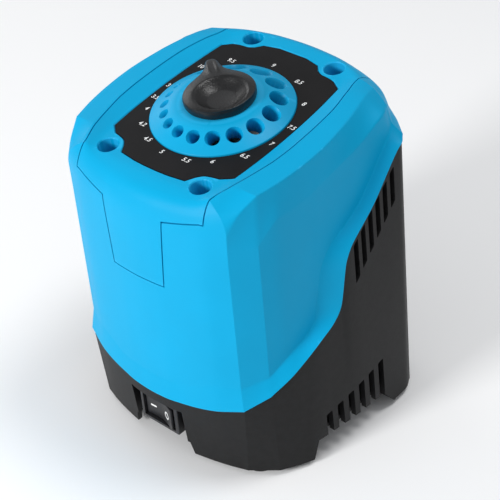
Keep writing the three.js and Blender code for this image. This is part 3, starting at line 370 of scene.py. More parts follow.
def round_tool(x, y, z0, z1, radius, sides=48, matrix=DIAL):
    profile = [[0, z0], [radius, z0], [radius, z1], [0, z1]]
    return turned("tool", profile, sides, matrix @ Matrix.Translation((x, y, 0)))


def arc(centre, radius, start, end, steps=6):
    """Points of an arc from start to end degrees, as [radius, z] pairs or [x, y] pairs."""
    turn = [math.radians(start + (end - start) * i / steps) for i in range(steps + 1)]
    return [[centre[0] + radius * math.cos(a), centre[1] + radius * math.sin(a)] for a in turn]


# Turns that stand a flat outline upright: facing along X, and facing along -Y.
SIDE_TURN = Matrix(((0, 0, 1, 0), (1, 0, 0, 0), (0, 1, 0, 0), (0, 0, 0, 1)))
FRONT_TURN = Matrix(((1, 0, 0, 0), (0, 0, -1, 0), (0, 1, 0, 0), (0, 0, 0, 1)))


def side_prism(outline, x0, x1):
    """A [y, z] outline pushed along X."""
    return prism("tool", outline, x0, x1, LIFT @ SIDE_TURN)


def front_prism(outline, y0, y1):
    """An [x, z] outline pushed along Y."""
    return prism("tool", outline, -y1, -y0, LIFT @ FRONT_TURN)


# ------------------------------------------------------------------ smooth rings through the outlines
def smooth_through(points, per_step):
    """A curve through points that keeps its steps monotone; the first and last point only steer it."""
    steps = np.diff(points, axis=0)
    product = steps[:-1] * steps[1:]
    total = steps[:-1] + steps[1:]
    slope = np.where(product > 0, 2 * product / np.where(total == 0, 1, total), 0)
    inner = points[1:-1]
    t = (np.arange(per_step) / per_step)[:, None]
    out = []
    for i in range(len(inner) - 1):
        a, b, da, db = inner[i], inner[i + 1], slope[i], slope[i + 1]
        out.append(a * (2 * t**3 - 3 * t**2 + 1) + da * (t**3 - 2 * t**2 + t)
                   + b * (3 * t**2 - 2 * t**3) + db * (t**3 - t**2))
    out.append(inner[-1][None, :])
    return np.vstack(out)


def dense_ring(half):
    """The whole ring from its right half, which runs from the front middle to the rear middle."""
    right = np.array(half, float)
    mirror = right * np.array((-1, 1, 1))
    parts = []
    stops = [0, *CORNERS, len(right) - 1]
    for first, last in zip(stops, stops[1:]):
        before = mirror[1] if first == 0 else 2 * right[first] - right[first + 1]
        after = mirror[-2] if last == len(right) - 1 else 2 * right[last] - right[last - 1]
        steered = np.vstack([before, right[first:last + 1], after])
        parts.append(smooth_through(steered, COLUMNS_PER_STEP)[:-1])
    curve = np.vstack([*parts, right[-1:]])
    left = curve[1:-1][::-1] * np.array((-1, 1, 1))
    return np.vstack([curve, left])


def plan_normals(ring):
    """Outward directions in plan, averaged over neighbours so that an inset ring never folds at a corner."""
    along = np.roll(ring, -1, axis=0) - np.roll(ring, 1, axis=0)
    normal = np.stack([along[:, 1], -along[:, 0], np.zeros(len(ring))], 1)
    normal /= np.linalg.norm(normal, axis=1)[:, None]
    average = sum(np.roll(normal, step, axis=0) for step in range(-6, 7))
    return average / np.linalg.norm(average, axis=1)[:, None]


def inset(ring, distance, rise=0.0):
    return ring - plan_normals(ring) * distance + np.array((0, 0, rise))


def filleted_rows(creases, radii, subdivisions):
    """Rows of points up through the creases, each inner crease rounded by its own radius in every column."""
    rows = [creases[0]]
    for i in range(1, len(creases) - 1):
        before, here, after = creases[i - 1:i + 2]
        length_in = np.linalg.norm(here - before, axis=1)[:, None]
        length_out = np.linalg.norm(after - here, axis=1)[:, None]
        reach = radii[i - 1][:, None]
        start = here + (before - here) / length_in * np.minimum(reach, 0.46 * length_in)
        end = here + (after - here) / length_out * np.minimum(reach, 0.46 * length_out)
        last = rows[-1]
        for s in range(1, subdivisions[i - 1] + 1):
            rows.append(last + (start - last) * s / subdivisions[i - 1])
        for s in range(1, 6):
            t = s / 5
            rows.append(start * (1 - t)**2 + here * 2 * t * (1 - t) + end * t**2)
    last = rows[-1]
    for s in range(1, subdivisions[-1] + 1):
        rows.append(last + (creases[-1] - last) * s / subdivisions[-1])
    return rows


def dial_z(y, rise=0.0):
    return DIAL_HEIGHT + y * math.tan(DIAL_TILT) + rise


# Right half outlines, front middle first, of the casing's creases from the rim up to the deck.
RIM_EDGE = [
    (0, -64, 33.5), (9.5, -63.6, 33.7), (18, -62.4, 34.3), (27, -60.8, 35.2), (36, -58.6, 36.6),
    (49.4, -53.4, 39.6), (57.4, -43.6, 45.8), (62.6, -32, 54.5), (65.4, -18, 64), (66.3, -8.4, 70),
    (66.6, -3.6, 76), (66.8, 1.2, 98), (67, 4.4, 104.2), (67.2, 20.5, 118), (67.5, 39.5, 138.5),
    (64.4, 45.6, 140.4), (52, 54.6, 141.6), (36, 60, 142), (18, 63, 142.2), (0, 64, 142.2),
]
RIM_INNER = [
    (0, -62.3, 43.8), (9.5, -61.9, 43.8), (18, -60.9, 44.2), (27, -59.4, 47.5), (36, -57.2, 50.5),
    (47.5, -52, 51), (55, -41, 54.4), (58, -30, 62), (59.2, -18, 67.6), (59.5, -13.5, 73),
    (59.7, -11.5, 84), (60, -8, 98.5), (60.3, -3, 105.5), (61.2, 16, 117.3), (61.7, 36.5, 140),
    (59.8, 43.4, 145.5), (49.5, 53.4, 147), (34.5, 58.4, 147.4), (17, 61.4, 147.6), (0, 62.4, 147.6),
]
PANEL_TOP = [
    (0, -61.7, 126), (9.5, -61.3, 126), (17.6, -60.3, 126), (27, -58.8, 126), (36, -56.8, 126),
    (47.5, -52, 126), (55, -41, 127), (58, -30, 136.5), (59.2, -18, 137.3), (59.7, -12, 138.5),
    (60, -8, 139.7), (60.2, -3, 141.2), (60.5, 3, 142.8), (61.2, 20, 147.6), (60.4, 36, 153),
    (57, 43.5, 154), (46.5, 53, 154.4), (33, 57.8, 154.6), (17, 60.6, 155), (0, 61.4, 155.2),
]
SHOULDER = [
    (0, -61.2, 136.5), (9.5, -60.8, 136.5), (17.6, -59.8, 136.5), (27, -58.4, 136.8), (36, -56.4, 137.6),
    (48.2, -51.8, 140.5), (53.8, -38.5, dial_z(-38.5, 1.9)), (56.3, -27, dial_z(-27, 2)),
    (57.6, -17, dial_z(-17, 2)), (58, -10, dial_z(-10, 2)), (58.1, -6, dial_z(-6, 2)),
    (58, -1, dial_z(-1, 2)), (57.6, 4, dial_z(4, 2)), (55.2, 20, dial_z(20, 1.9)),
    (50.6, 37, dial_z(37, 1.4)), (48.6, 45.5, dial_z(45.5, -0.4)), (40, 51.6, 157.6),
    (30, 55.4, 157.9), (15.5, 58.2, 158.2), (0, 59, 158.3),
]
RIDGE = [
    (0, -58, 143.6), (9.5, -57.6, 143.6), (17.6, -56.7, 143.7), (26.5, -55.2, 144.2), (33.5, -53.2, 145.6),
    (38.2, -50.2, dial_z(-50.2, 1.6)), (41.6, -39, dial_z(-39, 2.4)), (44.4, -27, dial_z(-27, 2.4)),
    (46.2, -17, dial_z(-17, 2.4)), (46.7, -10, dial_z(-10, 2.4)), (46.8, -6, dial_z(-6, 2.4)),
    (46.7, -1, dial_z(-1, 2.4)), (46.6, 4, dial_z(4, 2.4)), (45.6, 20, dial_z(20, 2.4)),
    (42.6, 35, dial_z(35, 2.2)), (40, 46.4, dial_z(46.4, 1.2)), (32.5, 51.2, dial_z(51.2, 0.4)),
    (24, 53.8, dial_z(53.8)), (12.5, 55.6, dial_z(55.6, -0.2)), (0, 56.2, dial_z(56.2, -0.2)),
]
DECK = [(x, y, dial_z(y)) for x, y in (
    (0, -50.5), (9, -50.4), (17, -50), (25, -49.3), (30.5, -48.6), (33.8, -47), (35.8, -37.5), (37, -26),
    (37.8, -16.5), (38, -10), (38.1, -6), (38, -1), (37.9, 4), (37.2, 19), (35.4, 33.5), (33.6, 44),
    (27.5, 48.8), (20, 51.2), (10.5, 52.6), (0, 53.2),
)]
FOOTPRINT = [(x, y, 0) for x, y in (
    (0, -60.6), (9.5, -60.2), (19.4, -58.4), (28, -56.7), (37.3, -54.4), (46.4, -51.4), (58.2, -42.2),
    (63, -34), (66.3, -26.5), (68.2, -14), (69.2, -6), (69.8, 2), (70.2, 10), (70.34, 23), (69.8, 37),
    (66.6, 44.6), (52.4, 56.6), (36, 61.6), (18, 63.6), (0, 64),
)]

rim_ring, lip_ring, panel_ring, shoulder_ring, ridge_ring, deck_ring, foot_ring = [
    dense_ring(half) for half in (RIM_EDGE, RIM_INNER, PANEL_TOP, SHOULDER, RIDGE, DECK, FOOTPRINT)
]


DECK_SPAN = 5              # strip of the deck inside its outline; the caps close the rest
SKIN_RADII = (0.5, 0.9, 0.9, 0.8, 0.9, 2)       # rounding of the creases from the rim to the deck's outline
ROLL_RADIUS = 20           # added where the top rolls over smoothly
SKIN_ROWS = (1, 3, 22, 4, 4, 3, 2)              # rows of quads in the bands between the creases


def roundness():
    """1 where the top rolls over smoothly, across the front and the rear, and 0 along the crisp sides."""
    y, x = ridge_ring[:, 1], np.abs(ridge_ring[:, 0])
    front = np.clip((-44 - y) / 6, 0, 1) * np.clip((40 - x) / 6, 0, 1)
    rear = np.clip((y - 44) / 5, 0, 1) * np.clip((40 - x) / 6, 0, 1)
    return np.maximum(front, rear)


def skin_rows():
    """Rows of the blue skin, down its inside from the deck to the rim and back up its outside."""
    soft = roundness()
    middle = inset(deck_ring, DECK_SPAN)
    middle[:, 2] = dial_z(middle[:, 1])
    inner_rim = inset(rim_ring, WALL)
    creases = [inner_rim, rim_ring, lip_ring, panel_ring, shoulder_ring, ridge_ring, deck_ring, middle]
    radii = [np.full(len(rim_ring), radius) for radius in SKIN_RADII]
    radii[2:] = [radius + ROLL_RADIUS * soft for radius in radii[2:]]
    outside = filleted_rows(creases, radii, SKIN_ROWS)
    inside = [middle - np.array((0, 0, WALL))]
    inside += [inset(ring, WALL, -WALL) for ring in (deck_ring, ridge_ring, shoulder_ring)]
    inside += [inset(ring, WALL) for ring in (panel_ring, lip_ring)]
    return [*inside, *outside]


def blue_skin(name):
    return loft(name, skin_rows(), LIFT, "blue_shell")


# ------------------------------------------------------------------ cover and shell
SEAM = [
    (46, -80), (38.6, -60), (37.4, -50.3), (40.9, -39), (43.8, -27), (45.6, -17), (46.2, -6),
    (46.1, 4), (45.1, 20), (42, 35), (39.5, 47), (39.5, 80),
]
WING_LOW, WING_HIGH = 134.6, 138.6
TONGUE_TOP_HALF, TONGUE_FOOT_HALF, TONGUE_FOOT = 17.6, 15.1, 99.8
WELL_RADIUS, WELL_DEPTH, WELL_WALL = 4.8, 13, 1.8
WELL_LIP = 0.6             # width of the chamfer at the mouth of a well
SCREW_CLEARANCE = 2.3      # radius of the screw holes
POCKET = 1                 # depth of the label's recess
COLLAR_RADIUS, BORE_RADIUS = 35.6, 30           # thickened ring and opening under the head
LABEL_WIDER = 1.1          # the label reaches this much further on its right side
# In the order of the screws: front left, front right, rear left, rear right.
WELLS = [(side * x, y) for x, y in ((27.8, -44.7), (24.3, 48.3)) for side in (-1, 1)]


def cover_zone(grow):
    """The space that the cover takes up: between its two seams, with its wings and its front tongue."""
    curve = smooth_through(np.array([SEAM[0], *SEAM, SEAM[-1]], float), 6)
    right = [(x + grow, y) for x, y in curve]
    plan = prism("zone", [*right, *[(-x, y) for x, y in reversed(right)]], 100, 190, LIFT)
    top, foot = TONGUE_TOP_HALF + grow, TONGUE_FOOT_HALF + grow
    wings = front_prism([
        (-60, WING_HIGH - grow), (-36, WING_HIGH - grow), (-top, WING_LOW - grow), (top, WING_LOW - grow),
        (36, WING_HIGH - grow), (60, WING_HIGH - grow), (60, 200), (-60, 200)], -FAR, FAR)
    tongue = front_prism([
        (-top, WING_LOW + 4), (-top, WING_LOW), (-foot, TONGUE_FOOT - grow), (foot, TONGUE_FOOT - grow),
        (top, WING_LOW), (top, WING_LOW + 4)], -FAR, -45)
    combine(plan, [wings], "INTERSECT")
    return combine(plan, [tongue], "UNION")


def label_outline(shrink=1.0):
    """The label: slightly bowed edges, with a scoop round each screw well and sharp corners beside it."""
    right = [(4, -46.8), (10, -46.5), (19.2, -45.3)]
    right += rounded_scoop([(21.6, -41.4), (24.4, -38.6), (28.2, -37.4), (31.4, -36.8)])
    right += [(35.7, -33.1), *bowed((35.7, -33.1), (34.4, 37.4), 1.9), (34.4, 37.4)]
    right += rounded_scoop([(30.4, 40.6), (26.6, 41.6), (22.4, 42), (19, 43.6)])
    right += [(16.2, 46.6), (8, 48.4)]
    wider = [(x + LABEL_WIDER if x > 32 else x, y) for x, y in right]
    ring = wider + [(-x, y) for x, y in reversed(right)]
    return [(x * shrink, y * shrink) for x, y in ring]


def bowed(start, end, rise, steps=12):
    """Points of a shallow bow outwards between two corners, without the corners."""
    share = [i / steps for i in range(1, steps)]
    return [(start[0] + (end[0] - start[0]) * t + rise * 4 * t * (1 - t), start[1] + (end[1] - start[1]) * t)
            for t in share]


def rounded_scoop(points):
    """A smooth curve through the points of a scoop."""
    bend = smooth_through(np.array([points[0], *points, points[-1]], float), 5)
    return [tuple(p) for p in bend]


def label_rim():
    """Tapered cutter that leaves a narrow chamfer round the label's recess."""
    low, high = np.array(label_outline()), np.array(label_outline(1.012))
    rings = [[(x, y, z) for x, y in ring] for ring, z in ((low, -0.35), (high, 0.25), (high, 6))]
    return loft("tool", rings, DIAL)


def make_cover():
    cover = blue_skin("blue_cover")
    combine(cover, [cover_zone(0)], "INTERSECT")
    tubes = [round_tool(x, y, -WELL_DEPTH - 3, -1.5, WELL_RADIUS + WELL_WALL) for x, y in WELLS]
    collar = round_tool(0, 0, -4, -1.6, COLLAR_RADIUS, 128)
    combine(cover, [*tubes, collar], "UNION")
    pocket = prism("tool", label_outline(), -POCKET, 6, DIAL)
    bore = round_tool(0, 0, -12, 8, BORE_RADIUS, 128)
    wells = [round_tool(x, y, -WELL_DEPTH, 20, WELL_RADIUS, 64) for x, y in WELLS]
    clear = [round_tool(x, y, -WELL_DEPTH - 5, 20, SCREW_CLEARANCE, 32) for x, y in WELLS]
    lip_radius = WELL_RADIUS + WELL_LIP
    lip = [[0, -0.5], [WELL_RADIUS, -0.5], [lip_radius, 0.35], [lip_radius, 6], [0, 6]]
    lips = [turned("tool", lip, 64, DIAL @ Matrix.Translation((x, y, 0))) for x, y in WELLS]
    combine(cover, [pocket, label_rim(), bore, *wells, *clear, *lips])
    shade(cover, CRISP)
    flatten(cover)
    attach(cover, "casing")
    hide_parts("top_cover")


def make_shell():
    shell = blue_skin("blue_shell_moulding")
    combine(shell, [cover_zone(SEAM_GAP)])
    shade(shell, CRISP)
    flatten(shell)
    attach(shell, "casing")
    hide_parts("body_shell")


# ------------------------------------------------------------------ black housing
BELLY = 10                 # height of the arches between the corner feet
SIDE_SLOTS = 6             # in each of the two rows of a side
UPPER_PITCH, UPPER_WIDTH, LOWER_PITCH, LOWER_WIDTH = 5.15, 3, 7.02, 3.8
BOX_WALL = 2.4             # wall round the switch recess
# The switch recess: half width, lower and upper edge, rear face, and the height of the rocker's middle.
SWITCH_HALF, SWITCH_LOW, SWITCH_HIGH, SWITCH_BACK, SWITCH_MIDDLE = 16.4, 7.4, 27, -54, 18
FOOT_CENTRES = [(side * x, y) for x, y in ((44.5, -40.5), (52.5, 42)) for side in (-1, 1)]
FOOT_SEAT, FOOT_SEAT_RADIUS = 2.6, 8.3
# The cord gland in the rear wall: x and z of its middle, its seat, the half sizes of its pad and recess, and
# the radius of its bore.
GLAND_PLACE, GLAND_FACE, GLAND_PAD, GLAND_RECESS, GLAND_BORE = (30, 30), 59.4, 10.5, 8.6, 5.4


def parting_ring():
    """Upper edge of the housing: the rim of the blue skin, moved back and tucked in a little."""
    along = np.roll(rim_ring, -1, axis=0) - np.roll(rim_ring, 1, axis=0)
    normal = plan_normals(rim_ring)
    away = np.cross(along, normal)
    away /= np.linalg.norm(away, axis=1)[:, None]
    away *= np.where(away[:, 2] > 0, -1, 1)[:, None]
    return rim_ring + away * 0.45 - normal * 0.8


def rounded_slot(y0, y1, bottoms, tops, radius=1.0):
    """A slot between two heights that differ from side to side, with its corners rounded."""
    corners = [(y0, bottoms[0]), (y1, bottoms[1]), (y1, tops[1]), (y0, tops[0])]
    out = []
    for i, corner in enumerate(corners):
        before, after = Vector(corners[i - 1]), Vector(corners[(i + 1) % 4])
        here = Vector(corner)
        start = here + (before - here).normalized() * radius
        end = here + (after - here).normalized() * radius
        for step in range(5):
            t = step / 4
            out.append(tuple(start * (1 - t)**2 + here * 2 * t * (1 - t) + end * t**2))
    return out


def vents(side):
    """Cutters for one side: two rows of slots, and the shallow recess round the upper row."""
    def span(near, far):
        return (near, far) if side > 0 else (-far, -near)

    tools = []
    for i in range(SIDE_SLOTS):
        y = 6.6 + i * UPPER_PITCH
        top = 103.6 + i * UPPER_PITCH * 0.93
        low = 83 + i * UPPER_PITCH * 1.02
        slot = rounded_slot(y, y + UPPER_WIDTH, (low, low + 3), (top, top + 2.6))
        tools.append(side_prism(slot, *span(58, 80)))
    for i in range(SIDE_SLOTS):
        y = -17.9 + i * LOWER_PITCH
        top = 21.5 + i * 1.7
        slot = rounded_slot(y, y + LOWER_WIDTH, (4, 4), (top, top + 0.9))
        tools.append(side_prism(slot, *span(52, 80)))
    recess = [(4, 78.5), (36.6, 111.5), (36.6, 132), (33.8, 130.2), (4, 104)]
    tools.append(side_prism(recess, *span(69.2, FAR)))
    return tools


def housing_pads(top):
    """Solid blocks inside the housing: over the four feet, round the switch and behind the cord gland."""
    pads = []
    for x0, x1 in ((33, FAR), (-FAR, -33)):
        pads.append(block(x0, x1, -FAR, -26, 0, BELLY + 0.4))
        pads.append(block(x0, x1, 27, FAR, 0, BELLY + 0.4))
    half, back = SWITCH_HALF + BOX_WALL, SWITCH_BACK + BOX_WALL
    pads.append(block(-half, half, -70, back, SWITCH_LOW, SWITCH_HIGH + BOX_WALL))
    gx, gz = GLAND_PLACE
    pads.append(block(gx - GLAND_PAD, gx + GLAND_PAD, 56.6, 70, gz - GLAND_PAD, gz + GLAND_PAD))
    for pad in pads:
        envelope = loft("tool", [inset(foot_ring, 1), inset(top, 1), inset(top, 5)], LIFT)
        combine(pad, [envelope], "INTERSECT")
    return pads


def make_housing():
    top = parting_ring()
    inner_low, inner_high = inset(foot_ring, WALL), inset(top, WALL)
    radii = [np.full(len(foot_ring), radius) for radius in (0.8, 0.5)]
    rows = filleted_rows([inner_low, foot_ring, top, inner_high], radii, [1, 24, 1])
    rows += [inner_high + (inner_low - inner_high) * t for t in (0.3, 0.6)]
    housing = loft("black_base", rows, LIFT, "black_housing", closed=True)
    combine(housing, housing_pads(top), "UNION")
    gx, gz = GLAND_PLACE
    feet = [round_tool(x, y, -1, FOOT_SEAT, FOOT_SEAT_RADIUS, 48, LIFT) for x, y in FOOT_CENTRES]
    tools = [
        block(-SWITCH_HALF, SWITCH_HALF, -80, SWITCH_BACK, -1, SWITCH_HIGH),
        block(-9.4, 9.4, -70, -40, SWITCH_MIDDLE - 6.8, SWITCH_MIDDLE + 6.8),
        block(gx - GLAND_RECESS, gx + GLAND_RECESS, GLAND_FACE, 80, gz - GLAND_RECESS, gz + GLAND_RECESS),
        turned("tool", [[0, 40], [GLAND_BORE, 40], [GLAND_BORE, 70], [0, 70]], 48,
               LIFT @ Matrix.Translation((gx, 0, gz)) @ Matrix.Rotation(-math.pi / 2, 4, "X")),
        side_prism([(-27.5, -1), (28.5, -1), (25, 4), (19.5, BELLY), (-23.6, BELLY)], -FAR, FAR),
        front_prism([(-19.4, -1), (19.4, -1), (17.6, 7.6), (-17.6, 7.6)], -FAR, -45),
        front_prism([(-38, -1), (38, -1), (34, BELLY), (-34, BELLY)], 45, FAR),
    ]
    combine(housing, [*feet, *tools, *vents(1), *vents(-1)])
    shade(housing, CRISP)
    flatten(housing)
    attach(housing, "casing")
    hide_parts("base_housing")


# ------------------------------------------------------------------ dial: label, figures, head and knob
DRILL_SIZES = [3, 3.5, 4, 4.2, 4.5, 5, 5.5, 6, 6.5, 7, 7.5, 8, 8.5, 9, 9.5, 10]
HOLE_PITCH_RADIUS, HOLE_HEIGHT, HOLE_LEAN = 25.7, 4.4, 31
HOLE_START, HOLE_SWEEP = 183, 322
HEAD_RADIUS, HEAD_RISE, HEAD_DROP = 32.9, 6.6, 4
KNOB_SEAT_RADIUS, KNOB_SCREW_CLEARANCE = 12.3, 2.8
LABEL_FACE, LABEL_BACK, LABEL_HOLE = -0.2, -0.7, 33.2
FIGURE_SIZE, FIGURE_SLANT, FIGURE_BOLD, FIGURE_THICKNESS = 3.35, 0.15, 0.02, 0.03
# Bearing in degrees and distance from the middle of the dial for each printed drill size.
FIGURES = {10: (148, 37), 9.5: (126, 37), 9: (93, 36.6), 8.5: (63, 36.6), 8: (36, 36), 7.5: (9, 35.6),
           7: (348, 35.6), 6.5: (327, 36), 6: (305, 36), 5.5: (286, 36), 5: (264.5, 36), 4.5: (245, 36),
           4.2: (226, 36), 4: (208, 35.4), 3.5: (194, 34.9), 3: (178, 34.8)}


def make_label():
    label = prism("dial_film", label_outline(0.992), LABEL_BACK, LABEL_FACE, DIAL, "printed_label")
    combine(label, [round_tool(0, 0, -4, 4, LABEL_HOLE, 128)])
    shade(label, ROUNDED)
    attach(label, "casing")
    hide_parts("dial_label")


def make_figures():
    """The drill sizes, printed beside their holes and read from the front."""
    printed = []
    for size, (bearing, radius) in FIGURES.items():
        text = bpy.data.curves.new("figure", "FONT")
        text.body = f"{size:g}"
        text.size = FIGURE_SIZE * MM
        text.shear = FIGURE_SLANT
        text.offset = FIGURE_BOLD * MM
        text.extrude = FIGURE_THICKNESS * MM
        text.align_x = "CENTER"
        text.align_y = "CENTER"
        obj = bpy.data.objects.new("figure", text)
        bpy.context.collection.objects.link(obj)
        angle = math.radians(bearing)
        x, y = radius * math.cos(angle), radius * math.sin(angle)
        spot = DIAL @ Matrix.Translation((x, y, LABEL_FACE + 0.01))
        spot.translation = spot.translation * MM
        obj.matrix_world = spot
        printed.append(obj)
    bpy.context.view_layer.update()
    graph = bpy.context.evaluated_depsgraph_get()
    work = bmesh.new()
    for obj in printed:
        mesh = bpy.data.meshes.new_from_object(obj.evaluated_get(graph))
        mesh.transform(obj.matrix_world)
        work.from_mesh(mesh)
        bpy.data.meshes.remove(mesh)
        bpy.data.objects.remove(obj)
    result = bpy.data.meshes.new("dial_figures")
    work.to_mesh(result)
    work.free()
    result.materials.clear()
    result.materials.append(MATERIALS["white_print"])
    figures = bpy.data.objects.new("dial_figures", result)
    bpy.context.collection.objects.link(figures)
    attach(figures, "casing")


def hole_bearings():
    """Bearings of the guide holes, in degrees, with equal webs between neighbours."""
    sweep = math.radians(HOLE_SWEEP) * HOLE_PITCH_RADIUS
    pairs = [(a + b) / 2 for a, b in zip(DRILL_SIZES, DRILL_SIZES[1:])]
    web = (sweep - sum(pairs)) / len(pairs)
    bearings = [HOLE_START]
    for width in pairs:
        bearings.append(bearings[-1] + math.degrees((width + web) / HOLE_PITCH_RADIUS))
    return bearings


def head_profile():
    """Half section of the dome: a skirt, a rounded rim, a straight flank and a flat crown."""
    crown = [[23.4 - 1.1 * i, 5.6 + 1 - (1 - i / 4)**2] for i in range(5)]
    return [
        [0, -HEAD_DROP], [29.5, -HEAD_DROP], [29.5, -0.7], [HEAD_RADIUS, -0.7],
        *arc((HEAD_RADIUS - 0.5, 0.1), 0.5, 0, 62, 4), [29.2, 2.4], [26.2, 4.1], *crown, [0, HEAD_RISE],
    ]


def make_head():
    dome = turned("domed_head", head_profile(), 160, DIAL, "blue_head")
    tools = []
    for size, bearing in zip(DRILL_SIZES, hole_bearings()):
        place = (DIAL @ Matrix.Rotation(math.radians(bearing), 4, "Z")
                 @ Matrix.Translation((HOLE_PITCH_RADIUS, 0, HOLE_HEIGHT))
                 @ Matrix.Rotation(math.radians(HOLE_LEAN), 4, "Y"))
        half = size / 2
        lip = half + 0.2 + 0.16 * half
        funnel = [[0, -30], [half, -30], [half, -1.3], [lip, 0.1], [lip + 0.3, 0.6], [lip + 0.3, 4], [0, 4]]
        tools.append(turned("tool", funnel, 56, place))
    tools.append(round_tool(0, 0, 1, 20, KNOB_SEAT_RADIUS, 64))
    tools.append(round_tool(0, 0, -20, 20, KNOB_SCREW_CLEARANCE, 32))
    combine(dome, tools)
    shade(dome, 40)
    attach(dome, "swing_head")
    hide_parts("guide_head")


KNOB_BASE, KNOB_TOP, KNOB_BEARING = 6.9, 11.4, 141
KNOB_COLUMNS = 240
KNOB_SHADE = 50
KNOB_DISH_CENTRE, KNOB_DISH_RADIUS, KNOB_DISH_DEPTH = (2.6, -1.4), 12.6, 5.0
# Outline of the knob as degrees from the pointer's middle and distance from the axis, over one half.
KNOB_OUTLINE = [(0, 27.5), (3.2, 27.5), (5.6, 26.9), (6.6, 25.2), (8.6, 22.6), (12, 20.4), (17.5, 18.8),
                (26, 17.8), (36, 17.0), (60, 16.6), (100, 16.5), (140, 16.5), (180, 16.5)]


def knob_outline():
    """Even steps of bearing round the middle of the dish, and the distance to the knob's edge at each."""
    around = KNOB_OUTLINE + [(360 - angle, radius) for angle, radius in reversed(KNOB_OUTLINE[1:-1])]
    bearings, distances = [], []
    for angle, radius in around:
        a = math.radians(angle + KNOB_BEARING)
        x = radius * math.cos(a) - KNOB_DISH_CENTRE[0]
        y = radius * math.sin(a) - KNOB_DISH_CENTRE[1]
        bearings.append(math.atan2(y, x) % (2 * math.pi))
        distances.append(math.hypot(x, y))
    order = np.argsort(bearings)
    turn = np.linspace(0, 2 * math.pi, KNOB_COLUMNS, endpoint=False)
    edge = np.interp(turn, np.array(bearings)[order], np.array(distances)[order], period=2 * math.pi)
    kernel = np.array([1, 2, 3, 2, 1]) / 9
    padded = np.concatenate([edge[-2:], edge, edge[:2]])
    return turn, np.convolve(padded, kernel, "valid")


def pointer_ridges(x, y):
    """Height of the two low ridges that run along the sides of the pointer."""
    point = math.radians(KNOB_BEARING)
    ahead = x * math.cos(point) + y * math.sin(point)
    aside = -x * math.sin(point) + y * math.cos(point)
    flanks = np.exp(-((np.abs(aside) - 2.1) / 0.8)**2)
    return 0.7 * np.clip((ahead - 12.5) / 5, 0, 1) * flanks


def make_knob():
    """Finger knob: a deep round dish, a shoulder that falls away from its rim, and a ridged pointer."""
    turn, edge = knob_outline()
    rings = []

    def ring(distance, height):
        x = KNOB_DISH_CENTRE[0] + distance * np.cos(turn)
        y = KNOB_DISH_CENTRE[1] + distance * np.sin(turn)
        rings.append(np.stack([x, y, np.broadcast_to(height, turn.shape)], 1))
        return rings[-1]

    for step in range(16):
        f = step / 15
        floor = KNOB_TOP - KNOB_DISH_DEPTH * (1 - f**2.4) - 0.35
        ring(max(0.93 * f, 0.004) * KNOB_DISH_RADIUS, floor)
    for f, drop in ((0.97, 0.12), (1.0, 0.0), (1.03, 0.06)):
        ring(f * KNOB_DISH_RADIUS, KNOB_TOP - drop)
    rim = 1.03 * KNOB_DISH_RADIUS
    shoulder = np.maximum(edge - rim, 0.5)
    fall = np.minimum(0.34 * shoulder, 2.3)
    for step in range(1, 9):
        f = step / 9
        rows = ring(rim + shoulder * f, KNOB_TOP - 0.06 - fall * f**1.3)
        rows[:, 2] += pointer_ridges(rows[:, 0], rows[:, 1]) * (1 - f**6)
    low = KNOB_TOP - 0.06 - fall
    for tucked, down in ((0.2, 0.25), (0.08, 0.7), (0, 1.4)):
        ring(edge - tucked, low - down)
    ring(edge - 0.05, KNOB_BASE + 0.5)
    ring(edge - 0.3, KNOB_BASE)
    knob = loft("finger_knob", rings, DIAL, "black_knob", smooth=KNOB_SHADE)
    combine(knob, [round_tool(0, 0, 1.3, KNOB_BASE + 0.4, 12, 64)], "UNION")
    combine(knob, [round_tool(0, 0, -5, 5.2, 2.3, 24)])
    shade(knob, KNOB_SHADE)
    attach(knob, "swing_head")
    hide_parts("grip_knob")


# ------------------------------------------------------------------ switch, feet and screws
ROCKER_AXIS_Y, ROCKER_THROW, ROCKER_HALF, ROCKER_RISE = -58, 8, 9.4, 6.3
BEZEL_FACE, BEZEL_HALF, BEZEL_RISE = -60.7, 12, 8.6
BARREL_BACK, BARREL_HALF, BARREL_RISE = -38, 9.1, 6.5
TAB_BACK, TAB_RISE = -31.5, 2.4
WINDOW_HALF, WINDOW_RISE = 10.1, 6.7      # opening of the frame, in which the rocker tilts
MARK_SUNK, MARK_RAISED = -0.1, 0.12       # the marks reach from inside the rocker to just above its face


def face_depth(x):
    """Y of the rocker's hollowed face in its own frame."""
    return -1.1 - 1.6 * (abs(x) / ROCKER_HALF)**1.5


def switch_block(half, y0, y1, rise, middle=0):
    """A block about the height of the rocker's middle."""
    return block(middle - half, middle + half, y0, y1, SWITCH_MIDDLE - rise, SWITCH_MIDDLE + rise)


